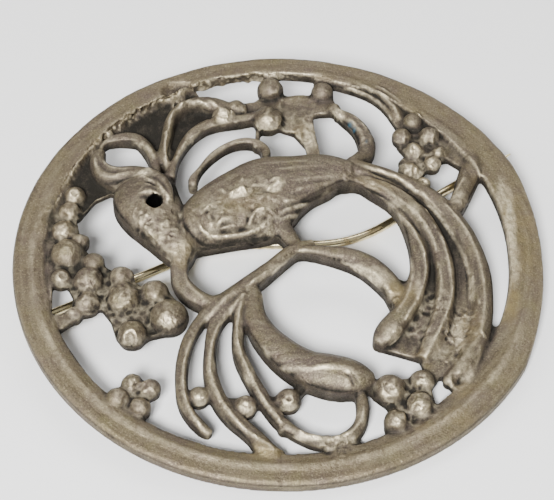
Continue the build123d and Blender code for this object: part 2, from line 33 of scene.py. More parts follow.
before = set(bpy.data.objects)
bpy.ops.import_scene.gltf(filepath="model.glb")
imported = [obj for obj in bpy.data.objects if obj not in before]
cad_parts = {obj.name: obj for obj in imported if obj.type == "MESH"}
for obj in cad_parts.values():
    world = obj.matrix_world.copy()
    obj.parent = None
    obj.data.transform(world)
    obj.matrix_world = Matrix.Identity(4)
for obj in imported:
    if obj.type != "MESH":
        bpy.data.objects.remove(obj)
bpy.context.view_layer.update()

# The brooch, in mm
MM = 0.001
RIM_RADIUS = 27.0
RIM_HEIGHT = 1.45
FIELD_RADIUS = 23.4
UNIT = round(FIELD_RADIUS / 100, 3)
OPENING_MIDDLE = (-0.55, 0.5)
OPENING_HALF = (23.35, 24.0)

# The camera of the photograph, in the brooch's plane, in mm and degrees
VIEW_ELEVATION = 52.185
VIEW_ROLL = 1.524
VIEW_DISTANCE = 180.0
VIEW_TARGET = (-0.541, 1.209, 0)
LENS = 115.35
SENSOR = 36.0
NEAREST_SEEN = 5.0
TRACE_LEVEL = 1.6
SLANT = 1 / math.tan(math.radians(VIEW_ELEVATION))

# Lights: name, place and size in metres, power in watts, and the room's own light
LIGHTS = [
    ("key", (-0.06, -0.33, 0.31), (0.11, 0.11), 6.0),
    ("beyond", (0.05, 0.40, 0.50), (0.6, 0.4), 2.4),
    ("left", (-0.45, 0.0, 0.30), (0.2, 0.3), 1.0),
]
ROOM_LIGHT = 0.30

# The casting's mesh, in mm
WELD = 0.0005
VOXEL = 0.14
THINNEST = 0.28
MOST_TRIANGLES = 196000

# The grid on which hollows are found: cell in mm, half its side in cells, height of empty cells
GRID_CELL = 0.2
GRID_HALF = 145
EMPTY = -1.0

# Random clouds: size in mm and seed
RAGGED = (0.7, 7)
SWELL = (2.6, 1)
RIPPLE = (1.1, 2)
RIDGE_BREAKS = (0.55, 12)
STREAKS = (1.0, 8)
BEAD_BREAKS = (1.4, 3)
RIM_SWELL = (3.2, 4)
CRUST = (0.7, 5)
FINE_CRUST = (0.35, 6)
POLISH_BREAKS = (1.6, 21)
STEEP_STAINS = (1.2, 9)
SPECKS = (0.32, 91)
ROUGH_SEED = 10
CLOUD_CELLS = 64

# How far below its level, in mm, a ridge or another mark still takes hold of the metal
RIDGE_HOLD = 1.1
MARK_HOLD = 1.2

# Ridges and grooves, in mm. STREAK_REACH is in shares of a ridge's half width, and a ridge whose
# half width is under NARROW, in hundredths, gets a line of painted shade along its foot.
RIDGE_ENDS = 1.2
RIDGE_FULL = 0.2
CREST_WIDTH = 0.26
FOOT_WIDTH = 0.16
FOOT_SHADE = 0.4
STREAK_REACH = 2.2
STREAK_HEIGHT = 0.05
STREAK_SIZE = (0.42, 3.5)
STREAK_SHIFT = (40, 20, 0)
NARROW = 2

# Skin, webs and rim, in mm
SWELL_HEIGHT = 0.05
RIPPLE_HEIGHT = 0.03
WEB_TOP = 1.25
WEB_DROP = 0.38
RIM_SWELL_HEIGHT = 0.035
RIM_RIDGE_HEIGHT = 0.10
RIM_HOLLOW_DEPTH = 0.12
BAND_RADIUS = 24.9
BAND_SLOPE = 0.26
BEAD_HEIGHT = 0.05
CRUST_HEIGHT = 0.24
SEAM_DEPTH = 0.08

# Dark marks fade out this far above their level, in mm. The hole of the eye is a level, x, y, half
# width and half height in hundredths, and BLACK is the value that paints it black as painted shade.
DARK_HEADROOM = 0.7
EYE = (3.3, -55.7, 25.0, 4.6, 4.4)
BLACK = 1.5

# Ridges and grooves: level in mm, half width in hundredths, height in mm, then x and y of each
# point in turn, in hundredths

RIDGES = [
    # The three upper leaves
    (1.7, 3.2, 0.3, -80, 56, -76, 59, -70, 60, -66, 59, -62, 56, -59, 52, -57, 48),
    (1.8, 3.6, 0.42, -52, 46, -53, 54, -53.4, 62, -52.6, 70, -51.4, 76, -48, 82, -43.5, 84.5, -39, 84,
     -34, 81),
    (1.7, 3, 0.3, -48, 46, -47, 53, -44, 60, -39, 65.5, -33, 69, -26, 71.5, -18, 72),
    (1.65, 2.2, 0.3, -38.5, 42, -33, 49.5, -27, 55, -21, 58.6, -15, 59.6, -11, 57.5),
    (1.9, 3, 0.28, -37, 86, -33, 84, -30, 80, -27.5, 77, -25.5, 75),
    (1.9, 2, 0.16, -33, 77.5, -30, 75, -26.5, 74, -23.5, 76),
    # Crest and brow
    (2.2, 1.3, 0.16, -84.5, 52, -84, 46, -81, 41.5, -76, 39, -70, 39.5, -66, 41),
    (2.2, 1.2, 0.16, -81, 52, -80, 47, -76.5, 43.5, -71, 42.5, -66, 43.5),
    (2.1, 1.3, 0.14, -86, 40, -82, 35.5, -76, 33.5, -70, 35, -66, 37.5),
    (3.6, 1.3, 0.3, -65, 42.4, -63.6, 41.3, -59, 38.6, -54.4, 34, -51.2, 29.4, -49.2, 25.2),
    (3.5, 1.1, 0.2, -61.8, 35.6, -57.3, 34.8, -53.5, 31.2, -51, 26.6),
    (3.55, 1, 0.16, -63.6, 28.8, -62.8, 29.9, -59.3, 31, -55.6, 30.2, -52.5, 27.5),
    (2.1, 1.3, 0.16, -81.7, 35.4, -78.3, 33.1, -73.9, 32.5, -69.6, 33.9, -66.2, 36.9),
    (2.2, 1.1, 0.14, -84.5, 46.3, -83.4, 42.5, -80.2, 39.3, -75.8, 38, -70.7, 38.2),
    # Head, throat and chest
    (3.2, 1.8, 0.12, -66, 20, -62, 15, -58, 10, -54, 6),
    (3.2, 1.6, 0.12, -63, 20, -59, 17, -56.5, 15.5),
    (3.1, 1.6, 0.14, -57, 14.5, -55, 13, -54.5, 10.5),
    (3.1, 1.6, 0.14, -50, 13.5, -47.5, 13, -46, 14.5),
    (3, 1.6, 0.12, -50, 9.5, -46.5, 9.5, -44.5, 11),
    (2.9, 1.8, 0.12, -47, 5, -43, 3, -40, 5),
    (2.9, 1.8, 0.12, -52, 2, -48, -1, -43, -3),
    # Wing
    (2.35, 1.2, 0.22, -37.5, 13.8, -35.6, 9.7, -32.9, 7.1, -27.2, 6.8, -20.2, 8.2, -15.2, 9.5,
     -11, 11.5, -7.5, 14.3, -5.4, 17.6),
    (3.2, 1.3, 0.22, -35.3, 18.9, -33.3, 22.2, -30.5, 24.3, -27.3, 25.4, -24.7, 24.5),
    (3.2, 1.1, 0.16, -32, 18.1, -31.2, 15.4, -30.2, 12.6),
    (3.3, 1.3, 0.22, -28.6, 13.1, -26.9, 16, -24.4, 17.4, -21.6, 18),
    (3.3, 1.2, 0.22, -14.6, 12.3, -14.3, 15.5, -13.4, 18.7, -12.6, 21.1, -9.2, 22.6, -6.3, 23.6,
     -4.2, 24.9),
    (3.3, 1.1, 0.18, -28, 33.6, -26.4, 31.3, -24.6, 30),
    (3.3, 0.9, 0.14, -18.7, 42, -18.4, 39.2, -18.1, 36.6),
    (3.3, 1.1, 0.2, -15.3, 33.9, -13.1, 34.8, -10.6, 35.2, -7.7, 34.6),
    (3.3, 1.1, 0.18, -13.7, 28.9, -10.8, 30, -8.3, 30.5, -5, 30.2),
    (3.3, 1.1, 0.16, 0.1, 27.8, 3.3, 28.9, 6.6, 29.6),
    (2.5, 1.2, 0.22, -3.3, 19.5, 0.2, 21.5, 3.8, 23.9, 7.4, 25.9, 10.9, 28.2, 15.3, 31.4, 20.5, 36.4),
    (2.4, 1.1, 0.18, -1.9, 17.3, 2.4, 19.3, 6.7, 21.7, 10.3, 24.6),
    (3.3, 1.5, 0.3, -24.4, 28.4, -20.9, 30.1, -18.5, 32.5, -16.7, 32.1, -14.8, 30.8),
    (3.4, 1.6, 0.32, -8, 33.4, -5.1, 34.9, -2.6, 37.2, -0.1, 40.1),
    (3.3, 1.2, 0.08, 3, 33, 12, 37, 22, 41),
    (3.3, 1.2, 0.08, 2, 38, 12, 41, 24, 44),
    (3.2, 1.2, 0.07, -6, 44, 6, 46.5, 20, 48),
    (3.2, 1.2, 0.07, -14, 47, -2, 49.5, 14, 51),
    # Plate at the top
    (1.2, 1.5, 0.26, 8.6, 72, 10, 68.6, 11, 64.6, 12, 61, 13.6, 57.4),
    (1.2, 1.4, 0.22, 10.8, 70, 12.6, 66.6, 13.6, 62, 14.6, 58),
    (1.2, 2.4, 0.14, 5, 72, 6.5, 67, 9, 62),
    # Curl at the tail's root
    (1.8, 2.6, 0.26, 21.8, 84, 23.6, 80, 25.5, 77),
    (1.8, 1.8, 0.14, 27, 78, 31, 74.5, 34, 69, 35.2, 63.5, 34.5, 58),
    (1.8, 1.4, 0.1, 29.5, 81, 34, 76, 38, 69, 39, 62),
    # Strand along the rim
    (1.45, 1.8, 0.26, 26, 97.6, 35, 94, 42, 88.6, 46.5, 82, 48.6, 76.5),
    (1.45, 1.6, 0.22, 32, 99, 41, 94.4, 47.5, 88, 51, 81.4, 52, 77),
    (1.45, 1.4, 0.14, 40, 98.6, 48, 93, 53, 87),
    # Tail, from the outer strand inwards
    (2.4, 1.5, 0.24, 33, 48.6, 42, 46.6, 50, 43.4, 56, 38.6, 61, 33),
    (1.75, 1.6, 0.26, 58.6, 36, 62.4, 31, 67, 25, 71.4, 17.4, 75, 9.6, 78, 1, 80.2, -8, 80.8, -15,
     80.2, -22.5),
    (2, 1.8, 0.12, 70, 29, 77, 18, 82, 7, 85, -6, 86, -20, 84.6, -33, 81.6, -45),
    (2.2, 2.2, 0.3, 34, 41, 42, 37, 48, 32.4, 53, 28, 57.6, 23, 61, 17, 64, 10, 66.4, 1),
    (2.1, 1.8, 0.26, 60, 30, 64, 22.6, 67.6, 13.6, 70, 4, 71.6, -5, 72.4, -14, 71.6, -23, 69, -32,
     66, -39, 62.6, -47, 58.6, -54),
    (2.1, 1.4, 0.14, 66, -2, 67.6, -12, 66.4, -22, 64, -31, 60.6, -40, 57.4, -49),
    (2.2, 1.8, 0.3, 34, 34.4, 40, 31, 45, 27, 50, 22, 54, 16.6, 57.6, 10, 60.4, 2, 61.4, -6, 60.8, -13,
     59, -20, 57, -25.6, 53.4, -32, 50.4, -37),
    (2.3, 1.6, 0.16, 54, 2, 55.4, -8, 54.4, -17, 51, -26, 47, -33),
    (2.4, 2.6, 0.32, 50.8, -37, 47, -41, 43, -45),
    (2.4, 1.6, 0.2, 50.6, -40.6, 47, -45, 42.6, -48.6),
    # Outer strand's molten end
    (1.9, 1.6, 0.2, 69, -62, 70.2, -66, 73, -67, 76, -63.6, 79.6, -57, 82, -50, 83.6, -44),
    (1.9, 1.3, 0.22, 75, -29.4, 80, -29.4),
    (1.9, 1.2, 0.18, 83, -39, 85.6, -42.4),
    (1.9, 1.3, 0.16, 82.4, -22, 83.6, -26),
    # Lower curl
    (2.3, 2.8, 0.36, 30, -4.6, 35, -7.8, 39.6, -11, 43, -15, 45.4, -19.6, 46.2, -24),
    (2.2, 1.6, 0.2, 12, -3.8, 19, -3.8, 26, -4.4, 31, -6.4, 36, -11, 40, -15),
    (2.2, 1.4, 0.12, 20, -7, 27, -9, 33, -12.6),
    # Branch and stems
    (2.1, 2.2, 0.3, 11, 1.6, 6, -2.6, 0, -7.6, -5, -11.6, -10, -16, -15, -20),
    (2, 1.5, 0.2, 8.6, -5.4, 4.6, -9.6, 0.6, -14, -3, -17.4),
    (2.1, 1.9, 0.26, -17, -21.6, -22, -25.6, -27, -31, -31.4, -36.6, -34.6, -43, -37.6, -50.6, -39, -60,
     -38.6, -70, -36.6, -78, -32.6, -85.4, -27.6, -92.6),
    (2.1, 1.8, 0.3, -14.6, -22.6, -19, -28.6, -23.6, -36, -26.8, -43, -28.2, -51, -28.6, -59,
     -27.6, -65, -25.4, -71.6, -22, -78.4, -17, -85, -11, -91, -4, -95.4, 1, -98.4),
    (1.7, 1.3, 0.12, -24, -84, -17, -91.6, -10, -98.4),
    (2, 1.8, 0.32, -14.6, -25, -17.2, -31, -18, -39, -17.8, -47, -15.8, -55, -12.6, -62, -9, -70,
     -5.6, -76.6, -1.4, -82, 2.4, -87.4),
    (1.7, 1.8, 0.32, 4.6, -88.6, 9.6, -91.2, 15, -92.8, 20, -93.4, 25, -92.2, 29.4, -90, 32.4, -86.4,
     34, -82, 34.4, -77),
    (1.6, 1.3, 0.12, 6, -93, 12, -96.4, 18, -97.6, 24, -97),
    (2.1, 2, 0.26, -6.4, -18.6, -7, -21.6, -8, -25),
    # Bud
    (3, 3, 0.16, 12, -59.4, 18, -59.2, 24, -59.2, 28.6, -60.4, 31, -64),
    (2.7, 1.8, 0.14, -4, -57.6, 3, -59.6, 10, -60.8, 18, -61.4),
    (2.4, 1.5, 0.12, -7.6, -48, -5.6, -52, -3.6, -55),
    # Leg
    (2.2, 1.6, 0.12, -41, -9, -40.6, -16, -37, -22, -31, -27),
    # Fork
    (1.7, 1.6, 0.12, 88, 44, 86, 38, 83, 32, 79, 26),
    (1.6, 1.4, 0.12, 80, 44, 77, 37, 73, 32),
]
GROOVES = [
    (3.6, 0.9, -0.18, -66, 44.6, -62.4, 43.2, -57.6, 40.2, -52.8, 35.2, -49.6, 29.6),
    (3.6, 1, -0.18, -63, 38.6, -58.4, 36.8, -54.2, 32.6, -51.6, 28),
    (3.5, 1, -0.14, -62.4, 32.8, -58, 33, -54.6, 30.8),
    (2.1, 0.9, -0.14, -83, 39.4, -79.4, 36, -75, 35.2, -70.4, 36),
    (2.2, 0.8, -0.12, -82.6, 44.6, -80.6, 41.4, -76, 40, -71, 40.4),
    (2, 1, -0.16, -84.6, 35, -80.6, 31, -75.6, 29.6, -70.6, 30.4),
    (3.3, 1, -0.2, -24.8, 26.8, -20.6, 28, -17, 29, -14.6, 28.6),
    (3.4, 1, -0.22, -8.6, 31.4, -5, 32.6, -2, 34.6, 0.6, 38),
    (3.3, 0.9, -0.18, -15.8, 12.6, -15.6, 16, -14.8, 19.4, -12.2, 23),
    (3.3, 0.9, -0.18, -27.6, 12.4, -25.4, 14.6, -22, 15.8, -19.4, 15.4),
    (3.3, 0.9, -0.16, -34, 18, -32, 21.6, -29, 23.2, -26.4, 22.8),
    (2.3, 1, -0.18, -33, 8.6, -27, 8.4, -20.4, 9.8, -15.6, 11.2, -11.6, 13.4),
    (1.75, 3.6, -0.34, -38, 4.6, -34.1, 1.8, -27, 1.8, -20, 3.2, -13, 5, -5.9, 8.4),
    (2.65, 1.8, -0.26, -43.1, 24.7, -44, 20, -42.9, 13.6, -40.1, 8.7, -35, 4.7),
    (3.2, 1.6, -0.22, -29.6, 21.4, -30.6, 18, -29.4, 15.4),
    (3.2, 2, -0.3, -47, 23, -44.6, 19, -44.8, 13, -43, 8),
    (3.3, 1.2, -0.16, -14, 30, -9, 30.4, -4.6, 30.8),
    (3.3, 1.6, -0.22, -31, 21.6, -29, 22.6, -28, 20),
    (3.3, 1.6, -0.16, -2, 26, 3, 27, 7, 29.6),
    (3.3, 1, -0.1, -1, 31, 6, 32.4, 14, 36),
    (3.3, 1, -0.08, 2, 35.6, 12, 39, 22, 42.6),
    (3.2, 1, -0.07, -3, 42, 8, 44.6, 22, 46.4),
    (2.4, 1.2, -0.12, -82.6, 51, -81.6, 46, -78, 42, -72, 41),
    (2.4, 1.2, -0.12, -84, 41.6, -79, 37, -73, 37, -68, 38.6),
    (3, 0.8, -0.2, 26, -60.4, 28.6, -63.6, 31, -67),
    (3, 0.7, -0.14, 28, -60.4, 30.6, -63.4, 32.4, -66.4),
    (2.2, 1.2, -0.14, 18, -5.6, 25, -6.8, 31, -10, 36, -14),
    (2.1, 1.1, -0.14, 9, -2.4, 3, -8.4, -3, -13.6),
    (2, 1.2, -0.24, 75, -31, 78, -31.4, 81, -31),
    (2.1, 1.3, -0.28, 32, 43.4, 40, 41.8, 49, 38.4, 56, 33, 61.6, 26.4, 66, 18, 69.6, 9),
    (2.2, 1.1, -0.2, 33, 37.6, 40, 34.4, 46, 30.4, 52, 24, 56.6, 17, 60.4, 9),
    (2.1, 0.9, -0.14, 36, 45.4, 46, 42.6, 54, 38),
    (2, 1.1, -0.1, 81.6, 2, 83, -8, 83.4, -18),
    (2.5, 0.9, -0.16, 41.6, -67, 45.4, -71),
    (2.2, 0.8, -0.24, 56, -66, 58, -67, 59.6, -67),
    (1.9, 0.9, -0.14, 72, -63.6, 73.6, -62, 76, -58),
    (1.45, 1, -0.1, 29, 98.4, 38, 94.2, 45, 88, 49, 81),
    (1.8, 1.3, -0.16, 23, 83, 24.6, 79.4),
]

# Pits and bumps: level, x, y, half width, half height in hundredths, depth in mm (bumps below
# zero), height of the raised lip round it in mm

PITS = [
    (3.4, -56.2, 26, 4.4, 3, 0.18, 0), (3, -45.6, -40.2, 3.6, 2, 0.34, 0.16),
    (3, -44.2, -36.4, 0.8, 0.8, 0.16, 0.05), (2.9, -52.6, -38.4, 1.4, 1.6, 0.12, 0.04),
    (2.4, -61.6, -46.7, 2.3, 2.5, 0.46, 0.2), (2.5, 4.2, -74, 1.2, 0.9, 0.4, 0.08),
    (2, -13.4, -79, 0.9, 0.9, 0.14, 0.06), (2, 58, -63.5, 0.9, 0.9, 0.3, 0.08),
    (2, 47, -84.6, 0.8, 0.9, 0.2, 0.06), (2.1, 55.4, -77.6, 1.8, 1.8, 0.16, 0.08),
    (2.4, 42.6, -67, 1, 1, 0.14, 0.06), (1.9, -25, 76.6, 1, 1, 0.22, 0.06),
    (2.5, -9.6, 73, 1.8, 1.2, 0.14, 0.08), (2.5, -4.6, 76.4, 1.4, 1.4, 0.12, 0.06),
    (2.4, 50.4, -39.2, 1.1, 0.9, 0.2, 0.08), (1.9, 72.4, -62, 2.6, 2.6, 0.1, 0.08),
    (1.5, 62, 39, 1.3, 1.5, 0.36, 0.12), (2, 57.6, 47.4, 1, 1.2, 0.24, 0.12),
    (2, 55, 45.8, 0.9, 0.9, 0.2, 0.08), (2, 60.2, 48.6, 0.8, 1, 0.22, 0.1),
    (2, 66.4, 51.6, 1.4, 1, 0.16, 0.08), (2, 58, 60.4, 1.2, 1, 0.2, 0.08),
    (1.9, -92.4, -17, 1.8, 1.6, 0.14, 0.08), (2.5, -80.6, -21.4, 1.8, 0.9, 0.12, 0.12),
    (2.2, -80.4, -33.4, 1.8, 0.9, 0.12, 0.12), (2, -91.6, 28.4, 1.8, 1.6, 0.1, 0.1),
    (1.4, 88, 41, 0.8, 0.5, 0.3, 0.06), (3.3, -16, 34.4, 1, 0.9, 0.16, 0.06),
    (3.3, -13.6, 29.2, 0.9, 0.8, 0.16, 0.04), (3.2, -57.6, 13, 1.2, 0.9, 0.14, 0.06),
    (3.2, -50.4, 11.6, 1.3, 0.9, 0.12, 0.06), (3, -47.6, 6.6, 1.2, 1, 0.12, 0.06),
    (1.2, -30.6, -96, 1.6, 1.6, -0.3, 0), (1.7, 3.4, -89, 2.2, 2.2, -0.16, 0),
    (3.4, -46.6, -35.4, 2.4, 2.2, -0.14, 0), (3, -66.6, -30.4, 2.4, 2, -0.14, 0),
    (2.6, -90, -7.4, 2.4, 2, -0.12, 0), (2.6, -67, -17.4, 2.6, 1.4, -0.12, 0),
]

# Facets that rise towards the top of the picture: level, x, y, half width, half height in
# hundredths, rise in mm

FACETS = [
    (3.3, -20, 29.8, 5.6, 2.8, 0.42), (3.4, -3.6, 36.2, 4.6, 3.6, 0.44),
    (3.3, -8, 22, 5, 2.2, 0.14), (3.3, -25, 16, 4.4, 2, 0.14),
    (3, -62.5, 40.5, 4.8, 3.6, 0.3), (3.2, -58, 16, 4, 2.6, 0.14),
    (3.1, -50, 13, 4, 2.6, 0.14), (3, -55, 8, 4, 2.6, 0.12),
    (2.9, -47, 3, 4, 2.6, 0.12), (3, 22, -59.6, 8, 2.4, 0.08),
    (1.9, -28.5, 78, 4, 4, 0.2), (1.8, 23.5, 80.5, 3, 4.4, 0.22),
    (3, -46.4, -36, 4.4, 3, 0.18), (2.9, -66, -30, 4.4, 3, 0.16),
    (2.5, -8, 74, 5, 3, 0.16), (2.5, 44, -70.6, 4, 3, 0.14),
    (2, 57, -76.6, 3.6, 2.6, 0.14),
]

# Recesses whose thin web lies deeper: level, x, y, half width, half height in hundredths

SUNKEN = [
    (0.8, -62, 69, 19, 19),
    (0.8, -43, 66, 10, 26),
    (0.8, -83, 36, 12, 22),
]

# Rounded ends: height of the top in mm, x, y, half width, half height in hundredths, drop in mm

DOMES = [
    (2, -28, 79.4, 5.6, 4.6, 0.6),
    (1.9, -20.6, 83, 3, 2.8, 0.5),
]

# Places where a piece runs out into the rim: level, x, y, half width, half height in hundredths,
# height of the rim there in mm

LEVELLED = [
    (1.6, 87, 50, 9, 13, 1.5),
    (1.2, -49, 90, 10, 7, 0.7),
]

# Regions with a rough skin: level, x, y, radius in hundredths, height in mm, grain size in mm

ROUGH = [
    (3.3, -14, 30, 20, 0.09, 0.9), (3.3, -30, 20, 12, 0.09, 0.8),
    (3.3, -8, 20, 12, 0.09, 0.8), (3.4, -60, 33, 13, 0.05, 0.6),
    (3.1, -54, 12, 15, 0.11, 1), (2.8, -42, -3, 10, 0.08, 0.9),
    (1.5, 64, -27, 9, 0.11, 0.5), (1.5, 58, -40, 8, 0.11, 0.5),
    (1.5, 76, -30, 6, 0.16, 0.5), (1.5, 72.6, -41, 7, 0.16, 0.5),
    (1.5, 69.4, -52, 6, 0.14, 0.5), (1.5, 77, -38, 8, 0.08, 0.5),
    (2.3, 46, -23, 7, 0.1, 0.7), (1, 2, 80, 18, 0.16, 1.2),
    (1.2, 8, 68, 9, 0.14, 0.9), (1.4, 62, 56, 20, 0.14, 0.8),
    (1.4, 40, 90, 16, 0.05, 0.8), (1.8, 34, 66, 9, 0.09, 0.7),
    (1.4, 24, -97, 9, 0.12, 0.7), (1, -58, -75, 11, 0.12, 0.8),
    (2, -70, -30, 30, 0.1, 0.9), (2, -92, 12, 22, 0.1, 0.8),
    (2.2, 24, -5, 9, 0.08, 0.7), (1.7, 76, 29, 6, 0.1, 0.8),
    (2, 53, -74, 16, 0.11, 0.8), (1.4, -30, 80, 14, 0.07, 0.8),
    (2, 0, -78, 8, 0.08, 0.7), (2, -14, -79, 6, 0.08, 0.7),
    (2, -31, -76, 6, 0.08, 0.7),
]

# Marks on the metal: level, x, y, half width, half height in hundredths, strength

# Rubbed marks: bare metal where the casting is worn, and painted highlights where light catches the
# wing's facets, the berries and the rim's edges
RUBBED_AND_HIGHLIT = [
    (3.3, -20.5, 29.8, 5, 2, 1.3), (3.3, -16.8, 31.4, 2.8, 1.8, 1.3),
    (3.4, -5.2, 34.6, 3.8, 1.9, 1.3), (3.4, -2, 38, 2.4, 2.9, 1.3),
    (3.3, -11, 35.4, 3, 0.8, 0.7), (3.3, -6.6, 23.6, 3.4, 1, 0.5),
    (3.3, -24.5, 17.5, 3, 0.9, 0.5), (3.2, -22, 8, 10, 0.9, 0.4),
    (3, -62.5, 41, 4, 2.8, 1), (2.4, 40.5, -12, 6.4, 5, 1),
    (2.3, 33, -7, 4, 2.4, 0.6), (2.4, 46.6, -40.6, 4.6, 3.8, 1),
    (3.1, 22, -59.4, 8, 0.9, 1.1), (3.1, 29, -60.6, 3, 1.2, 1.1),
    (3.1, 27.4, -64.6, 1.2, 2, 0.7), (3.2, -46.6, -36.4, 3.6, 2.2, 1),
    (3, -45.6, -42.6, 4.4, 1, 0.8), (3, -66.6, -30.6, 3.2, 2.2, 0.8),
    (2.4, -61.6, -46.7, 3.8, 4, 0.6), (2.5, -7.4, 74, 5.6, 3.6, 0.8),
    (1.9, -27.5, 77, 3.4, 3.4, 0.9), (1.8, 23.6, 80.6, 2.8, 4.4, 1),
    (1.2, 11, 66, 2.4, 8, 0.9), (2, 57.6, 48, 4, 3.4, 0.8),
    (1.6, 62.4, 41.6, 2.6, 4, 0.7), (2, 66.6, 52, 3.4, 2.4, 0.5),
    (2, 58.6, 60, 4, 3, 0.6), (1.7, 77, 31.6, 3.4, 3, 0.8),
    (1.4, 99, 17, 2.2, 17, 1.2), (1.4, 96.4, 34, 2.2, 9, 1),
    (1.4, 99.4, -5, 2, 10, 0.8), (2.2, 58, -20, 1.8, 6, 0.7),
    (2.2, 45, 27.6, 8, 2.2, 0.4), (2.1, 57, 25, 3.4, 4, 0.6),
    (2.1, 72, -6, 1.4, 4.6, 0.7), (2.1, 63, -47, 3.2, 5.6, 0.6),
    (2, 80.4, -18, 1.2, 6, 0.6), (2, 74, -39, 2.4, 8, 0.6),
    (1.9, 76, -58.6, 3.4, 4, 0.8), (2.5, 44.4, -70.6, 3.6, 2.6, 0.6),
    (2.1, 58, -77.6, 2.8, 2.8, 0.9), (2, 48.6, -83.6, 2.4, 2.4, 0.7),
    (2, 59, -65, 3, 1.4, 0.7), (2.3, 4.6, -77, 3.4, 2.4, 0.9),
    (2, -12.6, -79.4, 2.8, 2.4, 1), (2, -31.4, -75.8, 2.6, 2.6, 1),
    (1.9, -91.4, 27, 3.6, 2.6, 0.6), (2, -92.6, 15.4, 3.6, 1.6, 0.5),
    (2.1, -95, 7, 2, 2.4, 0.5), (2.6, -89, -8.4, 3, 2, 0.7),
    (2.3, -80, -10.6, 2.6, 1.6, 0.5), (2.1, -92.4, -18.6, 3, 1.4, 0.7),
    (2.5, -80.6, -22.4, 3.4, 1.2, 0.6), (2.2, -79.8, -34, 3.2, 1.4, 0.6),
    (2.4, -67.2, -17.4, 2.6, 2.4, 0.5), (2.3, -50.6, -25.4, 3.4, 1.4, 0.5),
    (2.1, -43, -2, 5, 5, 0.4), (2, -28, -60, 1.6, 6, 0.6),
    (2, -17.4, -46, 1.6, 8, 0.6), (2, -12.4, -61, 2, 8, 0.7),
    (1.7, 17, -92.8, 12, 1.4, 0.8), (1.7, 33, -84, 1.8, 4, 0.6),
    (2.1, -6.8, -21.6, 1.8, 4, 0.8), (2.1, -3, -10, 2.4, 2.4, 0.5),
    (1.6, -52.6, 62, 1.4, 16, 0.5), (1.6, -43, 60, 2, 8, 0.4),
    (1.6, -20, 98.6, 14, 1.6, 0.7), (1.3, 0, 103, 14, 1.4, 0.6),
]
OCHRE = [
    (2.2, 50, -22, 8, 8, 0.9), (2, 79, -36, 5, 9, 0.7),
    (1.5, 95, -22, 6, 12, 0.9), (1.4, 98, 26, 4, 10, 1),
    (1.4, 103, 10, 8, 26, 0.6), (1.4, 75, -69, 7, 5, 0.6),
    (1.4, 72, -82, 9, 6, 0.5), (1.4, 88, 36, 6, 10, 0.5),
    (1.9, -4, -98, 9, 5, 0.8), (2.4, -42, -4, 7, 6, 0.6),
    (3.3, -17, 26, 12, 6, 0.4), (2.6, -22, 3, 20, 5, 0.5),
    (2, 42, 38, 12, 5, 0.4), (1.4, -96, 12, 6, 26, 0.3),
    (1.4, 20, -107, 40, 6, 0.3), (1.3, 58, -88, 5, 3, 0.6),
    (1.5, 6, 70, 4, 6, 0.5), (2.1, 58, -53, 4, 6, 0.5),
    (1.4, 60, 84, 30, 5, 0.3),
]
VERDIGRIS = [
    (1.6, 29.6, 73.4, 1.1, 1.1, 1), (1.6, 31.4, 70.6, 0.8, 0.9, 0.6),
    (1.6, 36.6, 62, 0.7, 1.4, 0.4), (2.2, 27.6, 34, 1.1, 1.6, 0.8),
    (1.3, 3.5, 101, 0.8, 1.6, 0.4), (1.4, 99, 24, 1, 3, 0.3),
]
FOIL = [
    (3.3, -14, 29, 19, 11, 0.55), (3.3, -30, 20, 11, 9, 0.6),
    (3.3, -8, 20, 10, 8, 0.6), (3.3, -60, 40, 6, 4, 0.4),
    (3.1, -54, 12, 11, 12, 0.8), (2.6, -45, -2, 10, 8, 0.5),
    (1.5, 64, -27, 8, 10, 0.6), (1.5, 73, -42, 9, 14, 0.8),
    (1.5, 58, -40, 7, 7, 0.6), (1.2, 6, 72, 10, 10, 0.7),
    (2, -92, 12, 8, 24, 0.5), (2, -68, -28, 28, 18, 0.6),
    (2, 62, 54, 12, 14, 0.7), (2, 53, -74, 14, 14, 0.6),
    (1.8, -57, -75, 9, 9, 0.5),
]
# Dark marks, partly dark metal and partly painted shade: under the brow, along the belly's lower side
# and between the berries
DARK = [
    (1.4, 42, 86, 12, 7, 0.4), (1.2, 62, 57, 10, 12, 0.35),
    (1.8, 36, 58, 5, 9, 0.35), (1.2, 0, 80, 16, 6, 0.35),
    (1.3, -88, 20, 4, 20, 0.4), (1.4, 75.6, 0, 2.6, 26, 0.8),
    (1.4, 62, -4, 1.6, 18, 0.6), (1.6, 55, 22, 4, 10, 0.5),
    (1.2, 53, -45, 5, 6, 0.7), (1, 38, -76, 6, 7, 1),
    (1, 52, -84, 6, 5, 0.8), (3.4, -58.6, 27.4, 3.4, 1.6, 1.1),
    (1.7, -31, 0.8, 8, 3.4, 0.6), (1.7, -20, 2.2, 9, 3.4, 0.6),
    (1.7, -10, 5, 8, 3.4, 0.6), (1.9, 5, 14, 6, 4, 0.4),
    (1.9, 14, 22, 7, 4, 0.4), (1.4, -70, -30, 24, 19, 0.85),
    (0.9, -92, 10, 12, 30, 1), (0.9, 62, 54, 13, 17, 0.8),
    (0.9, 52, -74, 17, 14, 0.9), (0.7, -57, -75, 10, 10, 0.7),
    (0.9, -8, -73, 40, 14, 0.5), (1.3, -100.5, 12, 1.8, 12, 0.9),
    (1.3, -97.6, 25, 2, 5, 0.9), (1.3, -101.4, 0, 1.6, 6, 0.8),
    (1.6, 42, 45, 8, 3, 0.3), (0.8, -72, -32, 20, 16, 0.3),
    (1.2, -33, -43, 3, 8, 0.8),
]


def rows(items, name, width, kind=float):
    """A property of all of a mesh's items, one row for each."""
    values = np.zeros(len(items) * width, kind)
    items.foreach_get(name, values)
    return values.reshape(-1, width)


def mesh_points(mesh):
    return rows(mesh.vertices, "co", 3)


def mesh_normals(mesh):
    return rows(mesh.vertex_normals, "vector", 3)


def set_points(mesh, points):
    mesh.vertices.foreach_set("co", points.astype(np.float32).ravel())
    mesh.update()


